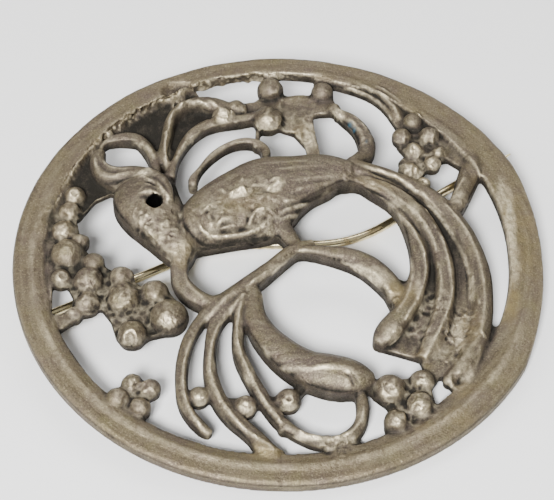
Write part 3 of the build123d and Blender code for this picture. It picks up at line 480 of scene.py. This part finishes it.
def casting_plane(smallest_area=1e-20, digits=3, same_way=0.9999):
    """The directions and the origin of the brooch's plane, from the flat back of its CAD mesh."""
    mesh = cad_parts["casting"].data
    mesh.calc_loop_triangles()
    corners = rows(mesh.loop_triangles, "vertices", 3, int)
    points = mesh_points(mesh)
    first, second, third = (points[corners[:, k]] for k in range(3))
    cross = np.cross(second - first, third - first)
    area = np.linalg.norm(cross, axis=1)
    facing = cross / np.maximum(area, smallest_area)[:, None]
    down = facing[:, 2] < 0
    directions, which = np.unique(np.round(facing[down], digits), axis=0, return_inverse=True)
    widest = directions[np.argmax(np.bincount(which.ravel(), area[down]))]
    flat = facing @ (widest / np.linalg.norm(widest)) > same_way
    normal = -Vector(np.sum(cross[flat], axis=0) / np.sum(area[flat])).normalized()
    side = Vector((1, 0, -normal.x / normal.z)).normalized()
    turn = np.array([side, normal.cross(side), normal])
    back = points[np.unique(corners[flat])] @ turn.T
    low, high = back.min(axis=0), back.max(axis=0)
    middle = np.array([low[0] + RIM_RADIUS * MM, (low[1] + high[1]) / 2, back[:, 2].mean()])
    return turn, middle @ turn


TURN, CENTRE = casting_plane()


def to_plane(points):
    """Points of the frame, in metres, as points of the brooch's plane, in millimetres."""
    return (points - CENTRE) @ TURN.T / MM


def to_frame(points):
    """Points of the brooch's plane, in millimetres, as points of the frame, in metres."""
    return points @ TURN * MM + CENTRE


def linked(name, data):
    """A new object of the scene."""
    obj = bpy.data.objects.new(name, data)
    bpy.context.scene.collection.objects.link(obj)
    return obj


def applied(obj):
    """The mesh of an object with its modifiers applied."""
    graph = bpy.context.evaluated_depsgraph_get()
    mesh = bpy.data.meshes.new_from_object(obj.evaluated_get(graph))
    obj.modifiers.clear()
    obj.data = mesh
    return mesh


def neighbour_mean(values, edges):
    """The mean of a value over each vertex's neighbours."""
    count = len(values)
    degree = np.maximum(np.bincount(edges.ravel(), minlength=count), 1)
    result = np.zeros_like(values)
    for k in range(values.shape[1]):
        total = np.bincount(edges[:, 0], values[edges[:, 1], k], count)
        total += np.bincount(edges[:, 1], values[edges[:, 0], k], count)
        result[:, k] = total / degree
    return result


def smoothed(values, edges, rounds, share=0.5):
    for _ in range(rounds):
        values = values + share * (neighbour_mean(values, edges) - values)
    return values


def clipped(value):
    return np.clip(value, 0, 1)


def eased(value):
    """A value clipped to 0 to 1, with soft ends."""
    value = clipped(value)
    return value * value * (3 - 2 * value)


def rise(value, start, width):
    """0 up to the start, then a soft rise to 1 over the width."""
    return eased((value - start) / width)


def fall(value, end, width):
    """A soft fall from 1 over the width, then 0 from the end on."""
    return eased((end - value) / width)


def bell(value, middle, width):
    """1 at the middle, with a soft fall to both sides."""
    return np.exp(-(((value - middle) / width) ** 2))


def cloud(points, size, seed):
    """Smooth random values from -1 to 1 that vary over the given size."""
    lattice = np.random.default_rng(seed).uniform(-1, 1, (CLOUD_CELLS,) * 3)
    place = points / size
    cell = np.floor(place).astype(int)
    share = eased(place - cell)
    total = np.zeros(len(points))
    for corner in np.ndindex(2, 2, 2):
        weight = np.prod(np.where(corner, share, 1 - share), axis=1)
        index = (cell + corner) % CLOUD_CELLS
        total += weight * lattice[tuple(index.T)]
    return total


def traced(level, x, y):
    """A point of the brooch's plane, in mm, from where it appears in the picture."""
    return x * UNIT, y * UNIT - (level - TRACE_LEVEL) * SLANT


def line_distance(places, line):
    """Distance of places from a line of points, below zero on its right, how far along it they
    are and its length."""
    nearest = np.full(len(places), np.inf)
    along = np.zeros(len(places))
    side = np.zeros(len(places))
    run = 0.0
    for start, end in zip(line[:-1], line[1:]):
        step = end - start
        length = np.hypot(*step)
        share = clipped((places - start) @ step / length**2)
        away = places - start - share[:, None] * step
        gap = np.hypot(*away.T)
        closer = gap < nearest
        nearest[closer] = gap[closer]
        along[closer] = run + share[closer] * length
        side[closer] = np.sign(step[0] * away[closer, 1] - step[1] * away[closer, 0])
        run += length
    return nearest * side, along, run


def rounded_line(line, share=0.25):
    """The line with its corners cut twice, which makes it a smooth curve."""
    for _ in range(2):
        cut = [line[0]]
        for start, end in zip(line[:-1], line[1:]):
            cut += [start * (1 - share) + end * share, start * share + end * (1 - share)]
        line = np.array([*cut, line[-1]])
    return line


def add_ridge(points, crest, front, level, half_width, height, *marks):
    """Raises a ridge on the surface, or lowers a groove, that fades out at both ends, and notes
    its crest line, above zero for a ridge and below zero for a groove. A narrow ridge also gets
    a line of painted shade along its foot, noted below zero."""
    pairs = zip(marks[::2], marks[1::2])
    line = rounded_line(np.array([traced(level, x, y) for x, y in pairs]))
    width = half_width * UNIT
    reach = width * STREAK_REACH
    low, high = line.min(axis=0) - reach, line.max(axis=0) + reach
    inside = front & np.all((points[:, :2] > low) & (points[:, :2] < high), axis=1)
    near = np.flatnonzero(inside & (points[:, 2] > level - RIDGE_HOLD))
    side, along, length = line_distance(points[near, :2], line)
    gap = np.abs(side)
    across = clipped(1 - gap / width) ** 1.4
    across *= 0.85 + 0.6 * cloud(points[near], *RIDGE_BREAKS)
    fade = eased(np.minimum(along, length - along) / min(0.3 * length, RIDGE_ENDS) + 0.05)
    held = eased((points[near, 2] - level + RIDGE_HOLD) / 0.5)
    drawn = [side / STREAK_SIZE[0], along / STREAK_SIZE[1], np.full(len(gap), length)]
    streak = clipped(STREAK_REACH - gap / width)
    streak *= cloud(np.stack(drawn, axis=1) + STREAK_SHIFT, *STREAKS)
    points[near, 2] += (height * across + STREAK_HEIGHT * streak) * fade * held
    shown = fade * held * min(1, abs(height) / RIDGE_FULL)
    crest[near] += np.sign(height) * clipped(1 - gap / CREST_WIDTH) * shown
    if height > 0 and half_width < NARROW:
        # A line of painted shade along the foot of a narrow ridge
        crest[near] -= FOOT_SHADE * bell(gap, width, FOOT_WIDTH) * shown


def spot(points, level, x, y, half_width, half_height):
    """Distance from a spot's centre in shares of its half sizes."""
    centre_x, centre_y = traced(level, x, y)
    across = (points[:, 0] - centre_x) / (half_width * UNIT)
    up = (points[:, 1] - centre_y) / (half_height * UNIT)
    return np.hypot(across, up)


def add_pit(points, front, level, x, y, half_width, half_height, depth, lip, reach=2.2):
    """Sinks a round pit, or raises a bump, with a lip round it."""
    distance = spot(points, level, x, y, half_width, half_height)
    near = np.flatnonzero(front & (distance < reach))
    far = distance[near]
    hollow = clipped(1 - far**2) ** 0.7
    points[near, 2] += lip * bell(far, middle=1.15, width=0.35) - depth * hollow


def add_facet(points, front, ragged, level, x, y, half_width, half_height, lift):
    """Tilts a patch of the surface towards the lower edge of the picture."""
    distance = spot(points, level, x, y, half_width, half_height) + 0.45 * ragged
    near = np.flatnonzero(front & (distance < 1) & (points[:, 2] > level - MARK_HOLD))
    centre_y = traced(level, x, y)[1]
    upward = (points[near, 1] - centre_y) / (half_height * UNIT)
    fade = eased((1 - distance[near]) * 3.5)
    points[near, 2] += lift * (0.45 + 0.55 * upward) * fade


def add_rough(points, normals, front, level, x, y, radius, height, size, seed):
    """Breaks the surface into rounded grains with creases between them."""
    distance = spot(points, level, x, y, radius, radius)
    near = np.flatnonzero(front & (distance < 1))
    fade = eased((1 - distance[near]) * 2)
    coarse = np.abs(cloud(points[near], size, seed))
    fine = np.abs(cloud(points[near], size / 2, seed + 1))
    push = height * fade * (0.6 - 2.0 * coarse - 0.9 * fine)
    points[near] += push[:, None] * normals[near]


def sink_webs(points, normals, front, ragged):
    """Lowers the thin webs in the recesses and tells how dark each vertex there is."""
    dark = np.zeros(len(points))
    for recess in SUNKEN:
        distance = spot(points, *recess) + 0.1 * ragged
        low = front & (distance < 1) & (points[:, 2] < WEB_TOP) & (normals[:, 2] > 0.5)
        share = eased((1 - distance[low]) * 5) * eased((WEB_TOP - points[low, 2]) * 5)
        points[low, 2] -= WEB_DROP * share
        dark[low] = np.maximum(dark[low], share)
    return dark


def add_domes(points, front):
    """Raises the rounded ends."""
    for *place, drop in DOMES:
        distance = spot(points, *place)
        near = np.flatnonzero(front & (distance < 1))
        points[near, 2] = np.maximum(points[near, 2], place[0] - drop * distance[near] ** 2)


def level_off(points, front):
    """Lowers what stands above a height inside a spot, so that it runs out into the rim."""
    for *place, top in LEVELLED:
        distance = spot(points, *place)
        high = front & (distance < 1) & (points[:, 2] > top)
        points[high, 2] -= (points[high, 2] - top) * eased((1 - distance[high]) * 2)


def marked(points, front, ragged, table, headroom=math.inf):
    """How strongly each vertex is marked by a table of spots with ragged edges. Marks fade out
    at the headroom above their level."""
    total = np.zeros(len(points))
    for level, x, y, half_width, half_height, strength in table:
        distance = spot(points, level, x, y, half_width, half_height) + 0.35 * ragged
        fade = strength * fall(distance, end=1.4, width=1)
        fade *= fall(points[:, 2], end=level + headroom, width=0.7)
        held = front & (points[:, 2] > level - MARK_HOLD)
        total = np.maximum(total, np.where(held, fade, 0))
    return total


def shape_rim(points, normals):
    """Gives the rim its ridge and hollow at the near side, its sloping band, its bead and its
    crusty inner wall at the far side, its casting seam and its slight unevenness. Tells how
    crusty each vertex is, and how polished, where the polish along the near ridge is also a
    painted highlight."""
    up = normals[:, 2]
    angle = np.degrees(np.arctan2(points[:, 1], points[:, 0]))
    radius = np.hypot(points[:, 0], points[:, 1])
    opening = np.hypot(*((points[:, :2] - OPENING_MIDDLE) / OPENING_HALF).T)
    inset = (opening - 1) * OPENING_HALF[0]
    on_rim = (inset > -0.3) & (points[:, 2] < RIM_HEIGHT + 0.15)
    top = on_rim & (up > 0.3) & (points[:, 2] > 0.6)

    far = rise(np.sin(np.radians(angle + 12)), start=-0.35, width=0.6)
    near = 1 - far
    ridge = bell(radius, middle=25.05, width=0.4)
    hollow = fall(radius, end=25.0, width=1.2)
    lift = near * (RIM_RIDGE_HEIGHT * ridge - RIM_HOLLOW_DEPTH * hollow)
    bead = BEAD_HEIGHT * bell(inset, middle=0.45, width=0.4)
    bead = bead * (1 + 0.9 * cloud(points, *BEAD_BREAKS))
    band = fall(radius, BAND_RADIUS, width=0.8) * (BAND_RADIUS - np.minimum(radius, BAND_RADIUS))
    lift += far * (band * BAND_SLOPE + bead)
    lift += RIM_SWELL_HEIGHT * cloud(points, *RIM_SWELL)
    points[top, 2] += lift[top]

    burr = rise(angle, start=84, width=16) * fall(angle, end=172, width=14)
    wall = on_rim & (inset < 0.6) & (points[:, 2] > 0.1) & (up < 0.75)
    crust = cloud(points, *CRUST) + 0.5 * cloud(points, *FINE_CRUST)
    push = np.where(wall, CRUST_HEIGHT * burr * crust, 0)
    points += push[:, None] * normals
    foot = burr * eased(1 + inset / 0.75) * (inset < 0.1) * (up > 0.3)
    foot[points[:, 2] > WEB_TOP] = 0
    points[:, 2] += foot * np.clip(0.36 + 0.5 * crust, 0, 0.9)

    seam = bell(points[:, 0], middle=0.4, width=0.14) * fall(points[:, 1], end=-20, width=2)
    points[top, 2] -= SEAM_DEPTH * seam[top]
    # Polish along the near ridge, which is also a painted highlight
    polish_and_highlight = near * ridge * (0.65 + 0.5 * cloud(points, *POLISH_BREAKS))
    return np.maximum(foot, wall * burr), np.where(top, polish_and_highlight, 0)


def spread(grid, radius):
    """A grid blurred by the given number of cells."""
    reach = int(3 * radius)
    weights = np.exp(-0.5 * (np.arange(-reach, reach + 1) / radius) ** 2)
    for axis in (0, 1):
        grid = sum(
            weight * np.roll(grid, step, axis)
            for step, weight in zip(range(-reach, reach + 1), weights)
        )
    return grid


def hollowness(points, front, radius):
    """How far each vertex lies below the metal round it, in mm, found on a grid that holds the
    highest surface in each of its cells."""
    side = 2 * GRID_HALF
    cell = np.floor(points[:, :2] / GRID_CELL).astype(int) + GRID_HALF
    flat = cell[:, 0] * side + cell[:, 1]
    highest = np.full(side * side, EMPTY)
    np.maximum.at(highest, flat[front], points[front, 2])
    highest = highest.reshape(side, side)
    filled = (highest > EMPTY).astype(float)
    level = spread(highest * filled, radius) / np.maximum(spread(filled, radius), 1e-6)
    return level.ravel()[flat] - points[:, 2]


def shape_relief(points, normals):
    """Works all the marks into the surface, in place, and notes what they leave on each vertex."""
    front = (normals[:, 2] > 0.12) & (points[:, 2] > 0.3)
    ragged = cloud(points, *RAGGED)
    webs = sink_webs(points, normals, front, ragged)
    level_off(points, front)
    add_domes(points, front)
    crusted, polished_and_highlit = shape_rim(points, normals)
    for number, region in enumerate(ROUGH):
        add_rough(points, normals, front, *region, ROUGH_SEED + 2 * number)
    skin = SWELL_HEIGHT * cloud(points, *SWELL) + RIPPLE_HEIGHT * cloud(points, *RIPPLE)
    points[front] += skin[front, None] * normals[front]
    for facet in FACETS:
        add_facet(points, front, ragged, *facet)
    crest = np.zeros(len(points))
    for ridge in RIDGES + GROOVES:
        add_ridge(points, crest, front, *ridge)
    for pit in PITS:
        add_pit(points, front, *pit)
    points[front, 2] = np.maximum(points[front, 2], THINNEST)
    return SimpleNamespace(
        ragged=ragged, webs=webs, crest=crest, crusted=crusted, polished_and_highlit=polished_and_highlit
    )


def measure(at, mesh, points, edges):
    """Notes how each vertex of the shaped surface lies."""
    normals = mesh_normals(mesh)
    at.points = points
    at.up = normals[:, 2]
    at.front = at.up > 0.05
    at.radius = np.hypot(points[:, 0], points[:, 1])
    at.outer = at.radius > RIM_RADIUS - 1
    at.low = fall(points[:, 2], end=1.3, width=1.0)
    at.bulge = np.sum((points - smoothed(points, edges, 14)) * normals, axis=1)
    at.broad = hollowness(points, at.front, radius=4.5)
    at.tight = hollowness(points, at.front, radius=1.8)
    # Dark marks and dark webs; the marks are partly painted shade
    at.dark = np.maximum(marked(points, at.front, at.ragged, DARK, DARK_HEADROOM), at.webs)
    at.dark *= 1 - at.crusted
    at.specks = cloud(points, *SPECKS)


def dirt_and_shade(at):
    """How dark each vertex is: dark patina in hollows, darker grooves, painted shade on walls and
    flanks and along the feet of narrow ridges, the dark marks, a darker back, and the crust.
    """
    wall = fall(at.up, end=0.82, width=0.75)
    wall[at.outer] *= 0.4
    grime_and_shade = 0.6 * rise(at.broad, start=0, width=0.8) + 0.7 * rise(at.tight, start=0, width=0.3)
    # Painted shade: walls and flanks that turn away from the top are darker, more so near the bottom
    grime_and_shade += wall * (0.37 + 0.45 * at.low)
    # Grooves are darker, and the feet of narrow ridges get painted shade
    grime_and_shade += 0.7 * clipped(-at.crest)
    steep = fall(at.up, end=0.45, width=0.25)
    clean = 0.42 - 0.36 * at.low + 0.2 * cloud(at.points, *STEEP_STAINS)
    grime_and_shade = np.minimum(grime_and_shade, 1 - steep * clean)
    grime_and_shade[at.outer] *= 1 - 0.75 * steep[at.outer]
    grime_and_shade = np.maximum(grime_and_shade, at.dark)
    upright = fall(np.abs(at.up), end=0.35, width=0.3) * (0.5 + 0.5 * at.low)
    upright[at.outer] *= 0.2
    back = 0.28 + 0.1 * at.ragged + 0.6 * upright
    grime_and_shade = np.where(at.front, grime_and_shade, np.maximum(grime_and_shade, back))
    most = np.where(at.crusted > 0, 1 - at.crusted * (0.45 + 0.5 * at.specks), 1)
    return clipped(np.minimum(grime_and_shade, most))


def rubbed(at):
    """How bright each vertex is, partly real wear and partly painted highlight: bulges, marks,
    crest lines, crust and the rim's ridge.
    """
    wear_and_highlight = eased(at.bulge / 0.075 - 0.35) * (1 - 0.6 * rise(at.broad, start=0, width=0.5))
    wear_and_highlight[at.outer] *= 0.5
    marks = marked(at.points, at.front, at.ragged, RUBBED_AND_HIGHLIT)
    # Rubbed marks and bright crest lines: partly wear, partly painted highlight
    wear_and_highlight = wear_and_highlight * 0.6 + marks * 0.75 + 0.65 * clipped(at.crest)
    wear_and_highlight += at.crusted * np.clip(2.2 * at.specks - 0.6, 0, 0.8) + 0.4 * at.polished_and_highlit
    return clipped(wear_and_highlight) * (1 - 0.9 * at.dark)


def stained(at):
    """How ochre each vertex is: marks, crust and a trace all along the rim."""
    marks = marked(at.points, at.front, at.ragged, OCHRE)
    marks = np.maximum(marks, at.crusted * (0.5 + 0.5 * at.ragged))
    return np.maximum(marks, 0.22 * rise(at.radius, start=FIELD_RADIUS, width=1))


def add_layers(mesh, at):
    """Writes the state of the surface into the mesh, for the nodes of the bronze."""
    # The eye hole: painted shade, black and without wear
    in_eye = (spot(at.points, *EYE) < 1) & (at.up < 0.6)
    layers = {
        "grime_and_shade": np.where(in_eye, BLACK, dirt_and_shade(at)),
        "wear_and_highlight": np.where(in_eye, 0, rubbed(at)),
        "ochre": stained(at),
        "verdigris": marked(at.points, at.front, at.ragged, VERDIGRIS),
        "foil": marked(at.points, at.front, at.ragged, FOIL),
    }
    for name, values in layers.items():
        layer = mesh.attributes.new(name, "FLOAT", "POINT")
        layer.data.foreach_set("value", values.astype(np.float32))


def build_casting():
    """The casting with an even mesh and a worked surface, which takes the place of its solid."""
    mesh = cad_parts["casting"].data.copy()
    set_points(mesh, to_plane(mesh_points(mesh)))
    obj = linked("casting_relief", mesh)
    obj.modifiers.new("weld", "WELD").merge_threshold = WELD
    remesh = obj.modifiers.new("remesh", "REMESH")
    remesh.mode = "VOXEL"
    remesh.voxel_size = VOXEL
    mesh = applied(obj)

    edges = rows(mesh.edges, "vertices", 2, int)
    points = smoothed(mesh_points(mesh), edges, rounds=5)
    set_points(mesh, points)
    at = shape_relief(points, mesh_normals(mesh))
    points = smoothed(points, edges, rounds=1, share=0.4)
    set_points(mesh, points)
    measure(at, mesh, points, edges)
    add_layers(mesh, at)

    shrink = obj.modifiers.new("decimate", "DECIMATE")
    mesh.calc_loop_triangles()
    shrink.ratio = min(1, MOST_TRIANGLES / len(mesh.loop_triangles))
    mesh = applied(obj)
    set_points(mesh, to_frame(mesh_points(mesh)))
    mesh.polygons.foreach_set("use_smooth", np.ones(len(mesh.polygons), bool))
    return obj


class Nodes:
    """Short ways to add the nodes of one material. Scales are for each mm of the brooch's plane."""

    def __init__(self, name):
        self.material = bpy.data.materials.new(name)
        self.material.use_nodes = True
        self.tree = self.material.node_tree
        place = {
            "Vector": self.add("TexCoord", {}).outputs["Object"],
            "Scale": (1 / MM, 1 / MM, 1 / MM),
            "Rotation": Matrix(TURN.tolist()).to_euler(),
            "Location": TURN @ CENTRE / -MM,
        }
        self.mm = self.add("Mapping", place).outputs[0]

    def fill(self, node, inputs):
        """Sets or links inputs of a node, by name or number."""
        for key, value in inputs.items():
            if isinstance(value, bpy.types.NodeSocket):
                self.tree.links.new(value, node.inputs[key])
            else:
                node.inputs[key].default_value = value
        return node

    def add(self, kind, inputs, **settings):
        node = self.tree.nodes.new("ShaderNode" + kind)
        for name, value in settings.items():
            setattr(node, name, value)
        return self.fill(node, inputs)

    def math(self, operation, first, second, clamp=False):
        node = self.add("Math", {0: first, 1: second}, operation=operation, use_clamp=clamp)
        return node.outputs[0]

    def sum(self, first, second, clamp=False):
        return self.math("ADD", first, second, clamp)

    def times(self, first, second, clamp=False):
        return self.math("MULTIPLY", first, second, clamp)

    def vector_math(self, operation, first, second=(0, 0, 0)):
        node = self.add("VectorMath", {0: first, 1: second}, operation=operation)
        return node.outputs["Value" if operation == "LENGTH" else "Vector"]

    def noise(self, scale, detail=2.0, rough=0.5, vector=None):
        inputs = {"Vector": vector or self.mm, "Scale": scale, "Detail": detail, "Roughness": rough}
        return self.add("TexNoise", inputs).outputs[0]

    def ring_noise(self, across, around):
        """Noise in streaks that run round the brooch's centre."""
        flat = self.vector_math("MULTIPLY", self.mm, (1, 1, 0))
        facing = self.vector_math("NORMALIZE", flat)
        turned = self.vector_math("MULTIPLY", facing, (around, around, 0))
        outward = self.times(self.vector_math("LENGTH", flat), across)
        upward = self.add("CombineXYZ", {"Z": outward}).outputs[0]
        return self.noise(1.0, vector=self.vector_math("ADD", turned, upward))

    def warped_cells(self, scale, warp_scale, warp):
        """Distances from the middles of cells whose places are randomly shifted."""
        noise = self.add("TexNoise", {"Vector": self.mm, "Scale": warp_scale}).outputs["Color"]
        centred = self.vector_math("SUBTRACT", noise, (0.5, 0.5, 0.5))
        shift = self.vector_math("MULTIPLY", centred, (warp, warp, warp))
        place = self.vector_math("ADD", self.mm, shift)
        return self.add("TexVoronoi", {"Vector": place, "Scale": scale}).outputs["Distance"]

    def mark(self, name):
        return self.add("Attribute", {}, attribute_name=name).outputs["Fac"]

    def ranged(self, value, low, high, to_low=0.0, to_high=1.0):
        inputs = dict(enumerate((value, low, high, to_low, to_high)))
        return self.add("MapRange", inputs).outputs[0]

    def mixed(self, share, first, second):
        return self.add("Mix", {0: share, 6: first, 7: second}, data_type="RGBA").outputs[2]

    def tinted(self, color, *tints):
        """A colour with tints over it: for each a noise, its values where the tint starts and where
        it is strongest, its strength there and its colour."""
        for noise, start, end, strength, tint in tints:
            color = self.mixed(self.ranged(noise, start, end, 0, strength), color, tint)
        return color

    def bumped(self, height, strength, depth, normal=None):
        inputs = {"Height": height, "Strength": strength, "Distance": depth * MM}
        if normal:
            inputs["Normal"] = normal
        return self.add("Bump", inputs).outputs[0]

    def finish(self, color, metallic, roughness, normal, specular=0.5):
        inputs = {"Base Color": color, "Metallic": metallic, "Roughness": roughness}
        inputs |= {"Normal": normal, "Specular IOR Level": specular}
        self.fill(self.tree.nodes["Principled BSDF"], inputs)
        return self.material


# Colours of the metal and of the floor

PATINA = (0.138, 0.111, 0.071, 1)
COOL_PATINA = (0.126, 0.099, 0.074, 1)
PLUM = (0.125, 0.094, 0.080, 1)
OLIVE = (0.150, 0.130, 0.066, 1)
PALE_STREAK = (0.20, 0.172, 0.115, 1)
DARK_STREAK = (0.085, 0.067, 0.048, 1)
DARK_SKIN = (0.075, 0.056, 0.043, 1)
DARK_SPECK = (0.055, 0.042, 0.036, 1)
BRIGHT_SPECK = (0.31, 0.27, 0.175, 1)
OCHRE_STAIN = (0.25, 0.19, 0.075, 1)
# The grime colours are dark patina and painted shade, the eye's colour is its painted shade, and bare
# metal is also painted highlight
THIN_GRIME_AND_SHADE = (0.072, 0.052, 0.043, 1)
THICK_GRIME_AND_SHADE = (0.011, 0.0108, 0.0095, 1)
EYE_HOLE_SHADE = (0.001, 0.001, 0.001, 1)
BARE_METAL_AND_HIGHLIGHT = (0.68, 0.585, 0.40, 1)
COPPER_GREEN = (0.012, 0.075, 0.12, 1)
WIRE = (0.98, 0.85, 0.52, 1)
WIRE_TARNISH = (0.36, 0.26, 0.12, 1)
OFF_WHITE = (0.86, 0.86, 0.855, 1)


def worn_bronze():
    """Cast bronze: matte brown-grey patina, dark recesses, rubbed ridges, ochre and green stains,
    with painted shade on walls and in the eye hole and painted highlights on ridges and rubbed spots.
    """
    n = Nodes("worn_bronze")
    grain = n.noise(6.5, detail=3.0, rough=0.65)
    speckle = n.noise(5.5, rough=0.6)
    patches = n.noise(0.9, detail=4.0, rough=0.6)
    broad = n.noise(0.2)
    skin = n.noise(1.9, detail=4.0, rough=0.65)
    rings = n.ring_noise(across=2.2, around=5.0)
    aside = n.vector_math("ADD", n.mm, (30, 0, 0))
    hue = n.noise(0.45, detail=3.0, rough=0.6, vector=aside)
    crumple = n.warped_cells(1.25, warp_scale=0.9, warp=0.8)
    foil = n.mark("foil")

    grime_and_shade = n.sum(n.mark("grime_and_shade"), n.ranged(patches, 0.3, 0.7, -0.14, 0.14))
    grime_and_shade = n.sum(grime_and_shade, n.ranged(grain, 0.3, 0.7, -0.12, 0.12))
    grime_and_shade = n.sum(grime_and_shade, n.times(foil, n.ranged(crumple, 0.35, 0.1, -0.08, 0.3)), clamp=True)
    wear_and_highlight = n.sum(n.mark("wear_and_highlight"), n.times(foil, n.ranged(crumple, 0.4, 0.75, 0.0, 0.45)))
    wear_and_highlight = n.times(wear_and_highlight, n.ranged(skin, 0.36, 0.62, 0.35, 1.15))
    wear_and_highlight = n.times(wear_and_highlight, n.ranged(grain, 0.3, 0.6, 0.6, 1.1), clamp=True)
    ochre = n.times(n.mark("ochre"), n.ranged(patches, 0.3, 0.65, 0.2, 0.8), clamp=True)
    green = n.times(n.mark("verdigris"), n.ranged(grain, 0.35, 0.55, 0.4, 1.0), clamp=True)

    color = n.tinted(
        PATINA,
        (broad, 0.4, 0.6, 1.0, COOL_PATINA),
        (hue, 0.52, 0.66, 0.7, PLUM),
        (hue, 0.46, 0.32, 0.7, OLIVE),
        (rings, 0.5, 0.66, 0.55, PALE_STREAK),
        (rings, 0.47, 0.33, 0.5, DARK_STREAK),
        (patches, 0.5, 0.72, 0.5, PALE_STREAK),
        (skin, 0.45, 0.3, 0.6, DARK_SKIN),
        (speckle, 0.44, 0.3, 0.7, DARK_SPECK),
        (speckle, 0.56, 0.7, 0.7, BRIGHT_SPECK),
    )
    color = n.mixed(ochre, color, OCHRE_STAIN)
    # Dark patina in hollows, and painted shade on walls, flanks, ridge feet and dark marks
    color = n.tinted(color, (grime_and_shade, 0.12, 0.6, 0.5, THIN_GRIME_AND_SHADE))
    color = n.mixed(n.times(grime_and_shade, 0.95), color, THICK_GRIME_AND_SHADE)
    # Painted shade: the eye hole is painted black
    color = n.tinted(color, (n.mark("grime_and_shade"), 1.0, BLACK, 1.0, EYE_HOLE_SHADE))
    # Bare metal where rubbed, and painted highlights
    color = n.mixed(wear_and_highlight, color, BARE_METAL_AND_HIGHLIGHT)
    color = n.mixed(green, color, COPPER_GREEN)

    metallic = n.sum(n.ranged(wear_and_highlight, 0, 1, 0.82, 1.0), n.times(grime_and_shade, -0.8))
    metallic = n.math("SUBTRACT", metallic, n.times(green, 0.8), clamp=True)
    roughness = n.sum(n.ranged(skin, 0.3, 0.7, 0.37, 0.51), n.times(grime_and_shade, 0.24))
    roughness = n.sum(roughness, n.times(wear_and_highlight, -0.17), clamp=True)
    specular = n.math("SUBTRACT", 0.4, n.times(grime_and_shade, 0.38), clamp=True)

    normal = n.bumped(rings, 0.45, depth=0.14)
    normal = n.bumped(skin, 0.75, depth=0.15, normal=normal)
    normal = n.bumped(grain, 0.9, depth=0.07, normal=normal)
    normal = n.bumped(crumple, n.times(foil, 0.9), depth=0.2, normal=normal)
    return n.finish(color, metallic, roughness, normal, specular)


def pin_wire():
    """Drawn wire: bright where it is rubbed, with brown tarnish and fine lines along it."""
    n = Nodes("pin_wire")
    tarnish = n.noise(0.5, detail=3.0, rough=0.6)
    along = n.add("Mapping", {"Vector": n.mm, "Scale": (0.4, 12.0, 12.0)}).outputs[0]
    color = n.tinted(WIRE, (tarnish, 0.45, 0.7, 1.0, WIRE_TARNISH))
    roughness = n.ranged(tarnish, 0.35, 0.7, 0.16, 0.30)
    normal = n.bumped(n.noise(1.0, vector=along), 0.3, depth=0.02)
    return n.finish(color, 1.0, roughness, normal)


def pale_floor():
    made = bpy.data.materials.new("pale_floor")
    made.use_nodes = True
    shader = made.node_tree.nodes["Principled BSDF"]
    shader.inputs["Base Color"].default_value = OFF_WHITE
    shader.inputs["Roughness"].default_value = 0.9
    shader.inputs["Specular IOR Level"].default_value = 0.2
    return made


def build_floor(half=1.0):
    mesh = bpy.data.meshes.new("floor")
    corners = [(-half, -half, 0), (half, -half, 0), (half, half, 0), (-half, half, 0)]
    mesh.from_pydata(corners, [], [(0, 1, 2, 3)])
    mesh.materials.append(pale_floor())
    return linked("floor", mesh)


def add_camera():
    """The photograph's view of the brooch."""
    elevation = math.radians(VIEW_ELEVATION)
    roll = math.radians(VIEW_ROLL)
    backward = np.array([0, -math.cos(elevation), math.sin(elevation)])
    level_x = np.array([1.0, 0, 0])
    rising = np.cross(backward, level_x)
    view_x = math.cos(roll) * level_x + math.sin(roll) * rising
    view_y = -math.sin(roll) * level_x + math.cos(roll) * rising
    eye = to_frame(np.array(VIEW_TARGET) + backward * VIEW_DISTANCE)
    data = bpy.data.cameras.new("camera")
    data.lens = LENS
    data.sensor_width = SENSOR
    data.clip_start = NEAREST_SEEN * MM
    camera = linked("camera", data)
    columns = [axis @ TURN for axis in (view_x, view_y, backward)] + [eye]
    camera.matrix_world = Matrix(np.transpose(columns).tolist() + [[0, 0, 0, 1]])
    bpy.context.scene.camera = camera


def add_room():
    """An even white light from all sides."""
    world = bpy.data.worlds.new("studio")
    world.use_nodes = True
    background = world.node_tree.nodes["Background"]
    background.inputs["Color"].default_value = (1, 1, 1, 1)
    background.inputs["Strength"].default_value = ROOM_LIGHT
    bpy.context.scene.world = world


def add_softbox(name, place, size, power):
    """An area light that faces the brooch."""
    data = bpy.data.lights.new(name, "AREA")
    data.shape = "RECTANGLE"
    data.size, data.size_y = size
    data.energy = power
    light = linked(name, data)
    light.location = place
    light.rotation_euler = (-Vector(place)).to_track_quat("-Z", "Y").to_euler()


bronze = worn_bronze()
wire = pin_wire()

relief = build_casting()
relief.data.materials.clear()
relief.data.materials.append(bronze)
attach(relief, "brooch")
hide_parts("casting")

for node in ("pin_stem", "hinge_rivet"):
    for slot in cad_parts[node].material_slots:
        slot.material = wire

floor = build_floor()

add_camera()
add_room()
for light in LIGHTS:
    add_softbox(*light)
